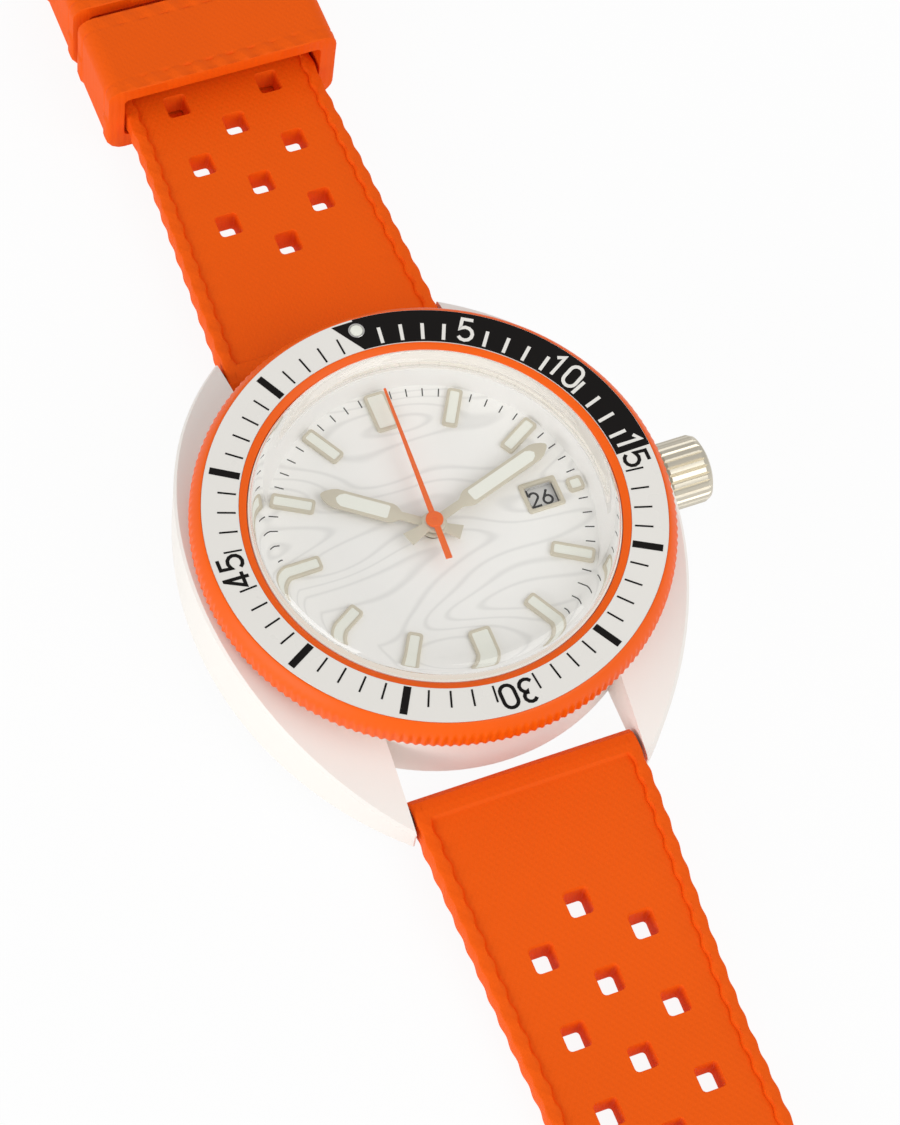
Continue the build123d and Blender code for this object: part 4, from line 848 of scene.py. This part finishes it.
def soft_plate(bm, outline, z0, z1, edge):
    """Adds a plate with its top edge rounded."""
    verts = flat_plate(bm, outline, z0, z1)
    rim = [e for e in bm.edges if e.is_valid and all(v in verts and abs(v.co.z - z1) < 1e-6 for v in e.verts)]
    bmesh.ops.bevel(bm, geom=rim, offset=edge, segments=2, profile=0.5, affect="EDGES", material=-1)


def hand(name, outline, inlay, z0, z1, hub_r, bore_r, clockwise, body, node):
    """Builds a hand with its hub and luminous inlay."""
    bm = bmesh.new()
    soft_plate(bm, turned_plan(outline, -clockwise), z0, z1, 0.035)
    hub = lathe([(bore_r, z0 - 0.1), (hub_r, z0 - 0.1), (hub_r, z1 - 0.02), (hub_r - 0.05, z1 + 0.02),
                 (bore_r, z1 + 0.02)], 64)
    hub_mesh = bpy.data.meshes.new(name + "_hub")
    hub.to_mesh(hub_mesh)
    hub.free()
    bm.from_mesh(hub_mesh)
    bpy.data.meshes.remove(hub_mesh)
    place(name, to_mesh(bm, name, 40), marker_cream, body, (node,))
    fill = bmesh.new()
    flat_plate(fill, turned_plan(inlay, -clockwise), z0 + 0.05, z1 + 0.015)
    place(name + "_inlay", to_mesh(fill, name + "_inlay"), lume_white, body)


# %% Hour and minute hands
HAND_T = 0.15
HOUR_Z = 8.15
MINUTE_Z = 8.6
SECOND_Z = 9.05
RIM = 0.27
for name, length, body_width, neck_end, tail, z, hub_r, bore_r, clockwise, rides, node in (
        ("hour_blade", 9.55, 1.75, 3.0, 2.4, HOUR_Z, 1.15, 0.79, 306.0, "hour", "hour_hand"),
        ("minute_blade", 12.1, 1.6, 3.2, 2.7, MINUTE_Z, 0.95, 0.46, 72.0, "minute", "minute_hand")):
    half = body_width / 2 - RIM
    inlay = [(half - 0.1, neck_end + 0.75), (half, neck_end + 0.9), (half, length - 1.9),
             (half * 0.6, length - 1.5), (0.0, length - 1.3)]
    inlay += [(-x, y) for x, y in inlay[-2::-1]]
    hand(name, sword(length, neck_end, body_width, tail, 1.3), inlay, z, z + HAND_T, hub_r, bore_r,
         clockwise, rides, node)

# %% [markdown]
# ## Seconds hand
# A straight needle, stamped from thin sheet, that is widest at its tail to balance the long tip. It is
# pressed on its pivot by a turned cap with a small dimple, and painted in the colour of the bezel.

# %% Seconds hand
hand_orange = finish("hand_orange", tone(240, 100, 0), 0.7, specular=0.0, speckle=0.02, grain=0.03)
SECOND_TURN = 3.0
NEEDLE = [(0.27, -3.7), (0.24, 0.0), (0.10, 12.8)]       # half-width and place along the needle
needle = bmesh.new()
needle_line = NEEDLE + [(-x, y) for x, y in NEEDLE[::-1]]
soft_plate(needle, turned_plan(needle_line, -SECOND_TURN), SECOND_Z, SECOND_Z + HAND_T, 0.03)
place("seconds_needle", to_mesh(needle, "seconds_needle", 40), hand_orange, "seconds",
      ("seconds_hand",))
CAP_R = 0.72
cap = lathe([(0.0, SECOND_Z - 0.03), (CAP_R, SECOND_Z - 0.03), (CAP_R, SECOND_Z + 0.15),
             (CAP_R - 0.1, SECOND_Z + 0.24), (0.2, SECOND_Z + 0.25), (0.17, SECOND_Z + 0.2),
             (0.0, SECOND_Z + 0.2)], 64)
place("seconds_cap", to_mesh(cap, "seconds_cap", 40), hand_orange, "seconds")

# %% [markdown]
# ## Case and crown
# The case is moulded with a matte, warm white coating; its shape is the frame's own. The crown is turned
# from steel with a champagne tint. Its flat lands are brushed along the axis, and narrow grooves between
# them give the grip.

# %% Case and crown finish

case_white = finish("case_white", tone(240, 236, 230), 0.5, speckle=0.012, grain=0.25, grain_scale=9000)
coat_node(case_white, "case_middle")
champagne = brushed("crown_steel", tone(216, 209, 192), 0.36, (0.04, 1.0, 1.0))
coat_node(champagne, "crown")
steel = brushed("steel", tone(198, 197, 194), 0.28, (0.03, 1.0, 1.0))
back_steel = brushed("back_steel", tone(196, 195, 193), 0.3, (1.0, 0.03, 1.0))
coat_node(back_steel, "case_back")
coat_node(steel, "spring_bar_12", "spring_bar_6", "spring_tip_12_crown_side", "spring_tip_12_far_side",
          "spring_tip_6_crown_side", "spring_tip_6_far_side", "bezel_click_spring", "bezel_snap_wire",
          "crown_tube", "winding_stem", "sliding_pinion", "setting_lever", "battery_clamp",
          "movement_screws", "stator", "quartz_can")

# %% [markdown]
# ## Movement finish
# Inside are the usual finishes of a quartz calibre: nickel-plated plates, brass wheels, a green board, an
# enamelled copper coil, dark moulded plastic and a steel cell. Each is a short recipe of the same kind.

# %% Movement finish
nickel = brushed("plate_nickel", tone(205, 201, 190), 0.35, (0.05, 1.0, 1.0))
coat_node(nickel, "main_plate", "train_bridge", "date_plate")
brass = brushed("brass", tone(214, 176, 96), 0.3, (1.0, 1.0, 0.1))
coat_node(brass, "centre_wheel", "third_wheel", "seconds_wheel", "minute_wheel", "hour_wheel",
          "cannon_pinion", "date_wheel", "setting_wheel")
plastic_dark = finish("plastic_dark", tone(44, 44, 46), 0.5, speckle=0.06, grain=0.2)
coat_node(plastic_dark, "movement_holder", "rotor")
plastic_white = finish("plastic_white", tone(232, 230, 224), 0.45, speckle=0.02, grain=0.1)
coat_node(plastic_white, "fifth_wheel")
board = finish("board_green", tone(34, 92, 60), 0.4, speckle=0.12, grain=0.2)
coat_node(board, "circuit_board")
copper = brushed("copper", tone(196, 112, 66), 0.3, (0.02, 1.0, 1.0))
coat_node(copper, "coil")
cell_steel = brushed("cell_steel", tone(208, 208, 206), 0.22, (1.0, 1.0, 0.05))
coat_node(cell_steel, "battery")
rubber_black = finish("seal_rubber", tone(34, 34, 35), 0.6, speckle=0.08, grain=0.2)
coat_node(rubber_black, "case_back_gasket", "crown_gasket")

# %% [markdown]
# ## Strap
# The strap is moulded rubber. A raised rim runs along both edges; its inner edge is scalloped, its outer
# one slightly toothed, and a fine fabric texture fills the middle. Rows of square holes let water and air
# through. A flat bar with a bump texture would show smooth edges, so the bumps are real: a cross-section
# is drawn again every fraction of a bump, and the sections are joined into one closed solid.

# %% Strap shape
STRAP_T = 2.4
STRAP_END_R = 1.45
STRAP_WIDE = 19.7
STRAP_SLIM = 18.0
TAPER = (24.0, 46.0)
SETTLE_END = 45.0               # from here on the strap keeps its level
BUMP = 2.12                     # length of one scallop
ROWS_PER_BUMP = 8
RIM_WIDTH = 1.05
RIM_WAVE = 0.17                 # swing of the rim's inner edge
RIM_START = 22.1                # the rim begins a little way from the case
TOOTH = 0.13                    # depth of the outer edge's teeth


def half_width(y):
    """Half-width of the strap at a distance from the dial axis."""
    share = min(max((y - TAPER[0]) / (TAPER[1] - TAPER[0]), 0), 1)
    return (STRAP_WIDE + share * (STRAP_SLIM - STRAP_WIDE)) / 2 - 0.01


def strap_level(y, near, far):
    """Height of a strap face, which leaves the spring bar level and settles on its way out."""
    return near + (far - near) * smooth((y - BAR_Y) / (SETTLE_END - BAR_Y))


print("strap box", [tuple(round(c, 2) for c in corner) for corner in node_box("strap_long")])

# %% [markdown]
# ## Making a strap
# One call builds a strap along the direction away from the case. Across the strap each row has the same
# vertices: the outer edge, the rounded top of the rim, its scalloped inner edge and the lower middle.
# The rows are joined into a closed sleeve that ends in the round eye for the spring bar.

# %% Strap builder


def row_half(y, y_end, corner):
    """Half-width of a row, with the strap's cut corners and the fine teeth of its edge."""
    half = half_width(y)
    if y > RIM_START:
        half -= TOOTH * (0.5 - 0.5 * cos(2 * pi * (y - RIM_START) / BUMP))
    return min(half, half_width(y) - max(0.0, y - y_end + corner))


def top_profile(y, half, far_end):
    """Across positions and extra heights of one half of a row, from the edge to the middle."""
    rise = smooth((y - RIM_START) / 0.25) * smooth((far_end - y) / 0.4)
    phase = 2 * pi * (y - RIM_START) / BUMP
    inner = half - RIM_WIDTH - RIM_WAVE * cos(phase)
    swell = 0.10 * (0.5 - 0.5 * cos(phase))
    edge = [(half, -0.24), (half - 0.05, -0.11), (half - 0.16, -0.03)]
    rim = [(half - 0.45, swell * 0.6), (half - 0.8, swell), (inner + 0.18, swell * 0.7),
           (inner + 0.05, -0.06), (inner, -0.22), (inner - 0.06, -0.32), (inner - 0.16, -0.26),
           (inner - 0.5, -0.18)]
    cells = edge + [(x, lift * rise) for x, lift in rim]
    return cells + [(min(x, inner - 0.7), -0.18 * rise) for x in (6.3, 5.3, 3.3, 2.3, 1.2, 0.0)]


def strap_row(y, y_end, corner, far_end, high, low):
    """One closed cross row: the top from +X to -X, then the underside back."""
    half = row_half(y, y_end, corner)
    right = top_profile(y, half, far_end)
    top = [(x, high + lift) for x, lift in right]
    top += [(-x, z) for x, z in top[-2::-1]]
    side = [(half, low + 0.4), (half - 0.1, low + 0.08), (half - 0.3, low)]
    under = [(-x, z) for x, z in side] + [(-5.3, low), (0.0, low), (5.3, low)] + side[::-1]
    return top + under


def strap_solid(far_low, y_end, corner, far_end):
    """Closed strap along +Y, without its holes."""
    step = BUMP / ROWS_PER_BUMP
    places = [BAR_Y + i * step for i in range(int((y_end - BAR_Y) / step))] + [y_end]
    near_low, near_high = BAR_Z - STRAP_END_R + 0.02, BAR_Z + STRAP_END_R - 0.11
    rows = []
    for turn in (90, 60, 30):
        y = BAR_Y - STRAP_END_R * sin(radians(turn))
        spread = STRAP_END_R * cos(radians(turn))
        rows.append((y, BAR_Z + max(spread - 0.11, 0.12), BAR_Z - max(spread - 0.02, 0.5)))
    for y in places:
        rows.append((y, strap_level(y, near_high, far_low + STRAP_T - 0.11),
                     strap_level(y, near_low, far_low + 0.02)))
    bm = bmesh.new()
    rings = [[bm.verts.new((x, y, z)) for x, z in strap_row(y, y_end, corner, far_end, high, low)]
             for y, high, low in rows]
    join_loops(bm, rings)
    bm.faces.new(rings[0])
    bm.faces.new(rings[-1][::-1])
    bmesh.ops.recalc_face_normals(bm, faces=bm.faces)
    return bm


def hole_block(bm, x, y, base, width, length, corner):
    """Adds a cutter for one hole: a rounded block that narrows a little towards the bottom and flares at the
    top.
    """
    outline = rounded_box(x - width / 2, x + width / 2, y - length / 2, y + length / 2, corner, 3)

    def level(grow, z):
        return [bm.verts.new((x + (px - x) * grow, y + (py - y) * grow, z)) for px, py in outline]

    top = strap_level(y, BAR_Z + STRAP_END_R, base + STRAP_T) - 0.29
    low = strap_level(y, BAR_Z - STRAP_END_R, base)
    loops = [level(0.80, low - 0.4), level(1.0, top - 0.08), level(1.06, top + 0.02), level(1.4, top + 0.6)]
    join_loops(bm, loops)
    bm.faces.new(loops[0][::-1])
    bm.faces.new(loops[-1])


def cut(bm, cutters, name):
    """Subtracts one closed mesh from another and returns the result as a bmesh."""
    blocks = []
    for part_name, part in ((name, bm), (name + "_cutter", cutters)):
        bmesh.ops.recalc_face_normals(part, faces=part.faces)
        mesh = bpy.data.meshes.new(part_name)
        part.to_mesh(mesh)
        part.free()
        blocks.append(bpy.data.objects.new(part_name, mesh))
        bpy.context.scene.collection.objects.link(blocks[-1])
    boolean = blocks[0].modifiers.new("cut", "BOOLEAN")
    boolean.operation = "DIFFERENCE"
    boolean.solver = "EXACT"
    boolean.object = blocks[1]
    done = blocks[0].evaluated_get(bpy.context.evaluated_depsgraph_get())
    result = bmesh.new()
    result.from_mesh(done.to_mesh())
    done.to_mesh_clear()
    for block in blocks:
        mesh = block.data
        bpy.data.objects.remove(block)
        bpy.data.meshes.remove(mesh)
    return result


# %% [markdown]
# ## The two straps
# The short strap carries the buckle and has three rows of holes; its end is forked around the buckle's
# tongue. The long one has fourteen rows and a tapered tip. Both are dyed through, so cut walls have the
# same orange, and a fine diagonal texture breaks the shine.

# %% Strap finish
rubber = finish("strap_rubber", tone(240, 91, 4), 0.62, specular=0.13, speckle=0.03, grain=0.1)


def weave(material, across, strength):
    """Adds a diagonal crossed texture, like a fine fabric pressed into the mould."""
    links = material.node_tree.links
    where = [n for n in material.node_tree.nodes if n.type == "TEX_COORD"][0]
    heights = []
    for angle in (35, -35):
        mapping = node_of(material, "ShaderNodeMapping")
        mapping.inputs["Rotation"].default_value = (0.0, 0.0, radians(angle))
        links.new(where.outputs["Object"], mapping.inputs["Vector"])
        waves = node_of(material, "ShaderNodeTexWave", wave_type="BANDS", bands_direction="X")
        waves.inputs["Scale"].default_value = across
        waves.inputs["Distortion"].default_value = 0.4
        links.new(mapping.outputs["Vector"], waves.inputs["Vector"])
        heights.append(waves)
    both = node_of(material, "ShaderNodeMath", operation="MAXIMUM")
    links.new(heights[0].outputs["Fac"], both.inputs[0])
    links.new(heights[1].outputs["Fac"], both.inputs[1])
    bump = node_of(material, "ShaderNodeBump")
    bump.inputs["Strength"].default_value = strength
    bump.inputs["Distance"].default_value = 0.00006
    links.new(both.outputs["Value"], bump.inputs["Height"])
    shader = material.node_tree.nodes["Principled BSDF"]
    first = shader.inputs["Normal"].links[0].from_node
    links.new(bump.outputs["Normal"], first.inputs["Normal"])


weave(rubber, 620.0, 0.3)
print(rubber.name, len(rubber.node_tree.nodes), "shader nodes")

# %% [markdown]
# ## Cutting the holes
# A mould has a pin for every hole. Here each pin is a small rounded block that flares where it leaves
# the rubber. All of them are subtracted at once, on the short strap with the block that makes its fork,
# and the bores for the bars come after.

# %% Straps
HOLE_FIRST_Y = 32.5
HOLE_PITCH = 6.6
HOLE_COLUMN_X = 4.3
HOLE_SIZE = (2.0, 2.15, 0.36)   # width, length and corner radius
BAR_BORE_R = 0.95
BUCKLE_AT = (96.3, 3.1)         # the buckle bar's place along the strap and its height
BUCKLE_BORE_R = 0.8
FORK = (3.0, 6.4, 8.0)          # block that is taken out for the tongue
for name, node, body, base, y_end, corner, rows, far_end in (
        ("strap_short_rubber", "strap_short", "strap_short", 1.9, 97.5, 0.4, 3, 91.0),
        ("strap_long_rubber", "strap_long", "strap_long", 0.0, 141.3, 4.5, 14, 135.0)):
    solid = strap_solid(base, y_end, corner, far_end)
    cutters = bmesh.new()
    for row in range(rows):
        hole_block(cutters, 0.0, HOLE_FIRST_Y + row * HOLE_PITCH, base, *HOLE_SIZE)
        for side in (-1, 1):
            hole_block(cutters, side * HOLE_COLUMN_X, HOLE_FIRST_Y + (row + 0.5) * HOLE_PITCH, base,
                       *HOLE_SIZE)
    bores = [(BAR_Y, BAR_Z, BAR_BORE_R)]
    if node == "strap_short":
        bores.append((*BUCKLE_AT, BUCKLE_BORE_R))
        bmesh.ops.create_cube(cutters, size=1.0, matrix=Matrix.Translation((0, *BUCKLE_AT))
                              @ Matrix.Diagonal((*FORK, 1.0)))
    solid = cut(solid, cutters, name)
    for y, z, r in bores:
        drill = bmesh.new()
        bmesh.ops.create_cone(drill, cap_ends=True, segments=32, radius1=r, radius2=r, depth=30,
                              matrix=Matrix.Translation((0, y, z)) @ Matrix.Rotation(pi / 2, 4, "Y"))
        solid = cut(solid, drill, name)
    if node == "strap_long":
        bmesh.ops.rotate(solid, cent=(0, 0, 0), matrix=Matrix.Rotation(pi, 3, "Z"), verts=solid.verts)
    place(name, to_mesh(solid, name, 28), rubber, body, (node,))

# %% [markdown]
# ## Keepers
# Two loops of the same rubber hold the free end. A row of bumps, as long as the strap's, runs along their
# front and rear edges, with a smooth and slightly sunk band between. Each loop is a rounded rectangle
# swept along the strap; near the edges its rows rise and fall with the bumps.

# %% Keepers
KEEPER_STEPS = (24, 72)         # points on each side wall and on each broad side
KEEPER_CORNER = 1.3
KEEPER_BORE = (9.2, 1.7, 6.8, 0.5)    # half-width, floor, ceiling and corner of the opening
KEEPER_MID_Z = 4.2
KEEPER_FLAT_Z = 0.6             # the underside lies flat up to here
KEEPER_SWING = 0.26
# Distance from the end face, depth below the outside, and share of the swing.
KEEPER_ROWS = ((0.0, 0.35, 0), (0.1, 0.14, 0), (0.3, 0.03, 1), (0.75, 0.0, 1), (1.05, 0.0, 1),
               (1.25, 0.10, 1), (1.4, 0.16, 0), (1.6, 0.16, 0))


def loop_outline(half, low, high, r, steps):
    """Rounded rectangle in the XZ plane with evenly placed points on its straight sides."""
    corners = [(half - r, low + r, -90), (half - r, high - r, 0), (r - half, high - r, 90),
               (r - half, low + r, 180)]
    points = []
    for i, (cx, cz, start) in enumerate(corners):
        points += arc(cx, cz, r, start, start + 90, 4)
        x, z, turn = corners[(i + 1) % 4]
        ends = points[-1], (x + r * cos(radians(turn)), z + r * sin(radians(turn)))
        count = steps[i % 2]
        points += [(ends[0][0] + (ends[1][0] - ends[0][0]) * k / count,
                    ends[0][1] + (ends[1][1] - ends[0][1]) * k / count) for k in range(1, count)]
    return points


for name in ("keeper_front", "keeper_rear"):
    low, high = node_box(name)
    bm = bmesh.new()
    inner = loop_outline(*KEEPER_BORE, KEEPER_STEPS)
    outer = loop_outline(high.x, low.z, high.z, KEEPER_CORNER, KEEPER_STEPS)
    length = high.y - low.y
    loops = []
    for along, depth, wave in [*KEEPER_ROWS, *((length - a, d, w) for a, d, w in KEEPER_ROWS[::-1])]:
        loop = []
        for x, z in outer:
            bump = 0.5 - 0.5 * cos(2 * pi * x / BUMP) if abs(x) < high.x - KEEPER_CORNER else 0.5
            sink = depth + (KEEPER_SWING * wave * bump if z > KEEPER_MID_Z - 0.2 else 0.0)
            keep = 1 - sink / hypot(x, z - KEEPER_MID_Z)
            drawn_z = KEEPER_MID_Z + (z - KEEPER_MID_Z) * keep if z > KEEPER_FLAT_Z else z
            loop.append(bm.verts.new((x * keep, low.y + along, drawn_z)))
        loops.append(loop)
    loops += [[bm.verts.new((x, low.y + y, z)) for x, z in inner] for y in (length, 0.0)]
    join_loops(bm, loops, around=True)
    place(name + "_rubber", to_mesh(bm, name, 40), rubber, name, (name,))

# %% [markdown]
# ## Buckle
# The buckle's frame, bar and tongue are steel with a brushed finish. They keep the frame's own shape.

# %% Buckle finish
coat_node(steel, "buckle_frame", "buckle_bar", "buckle_tongue")
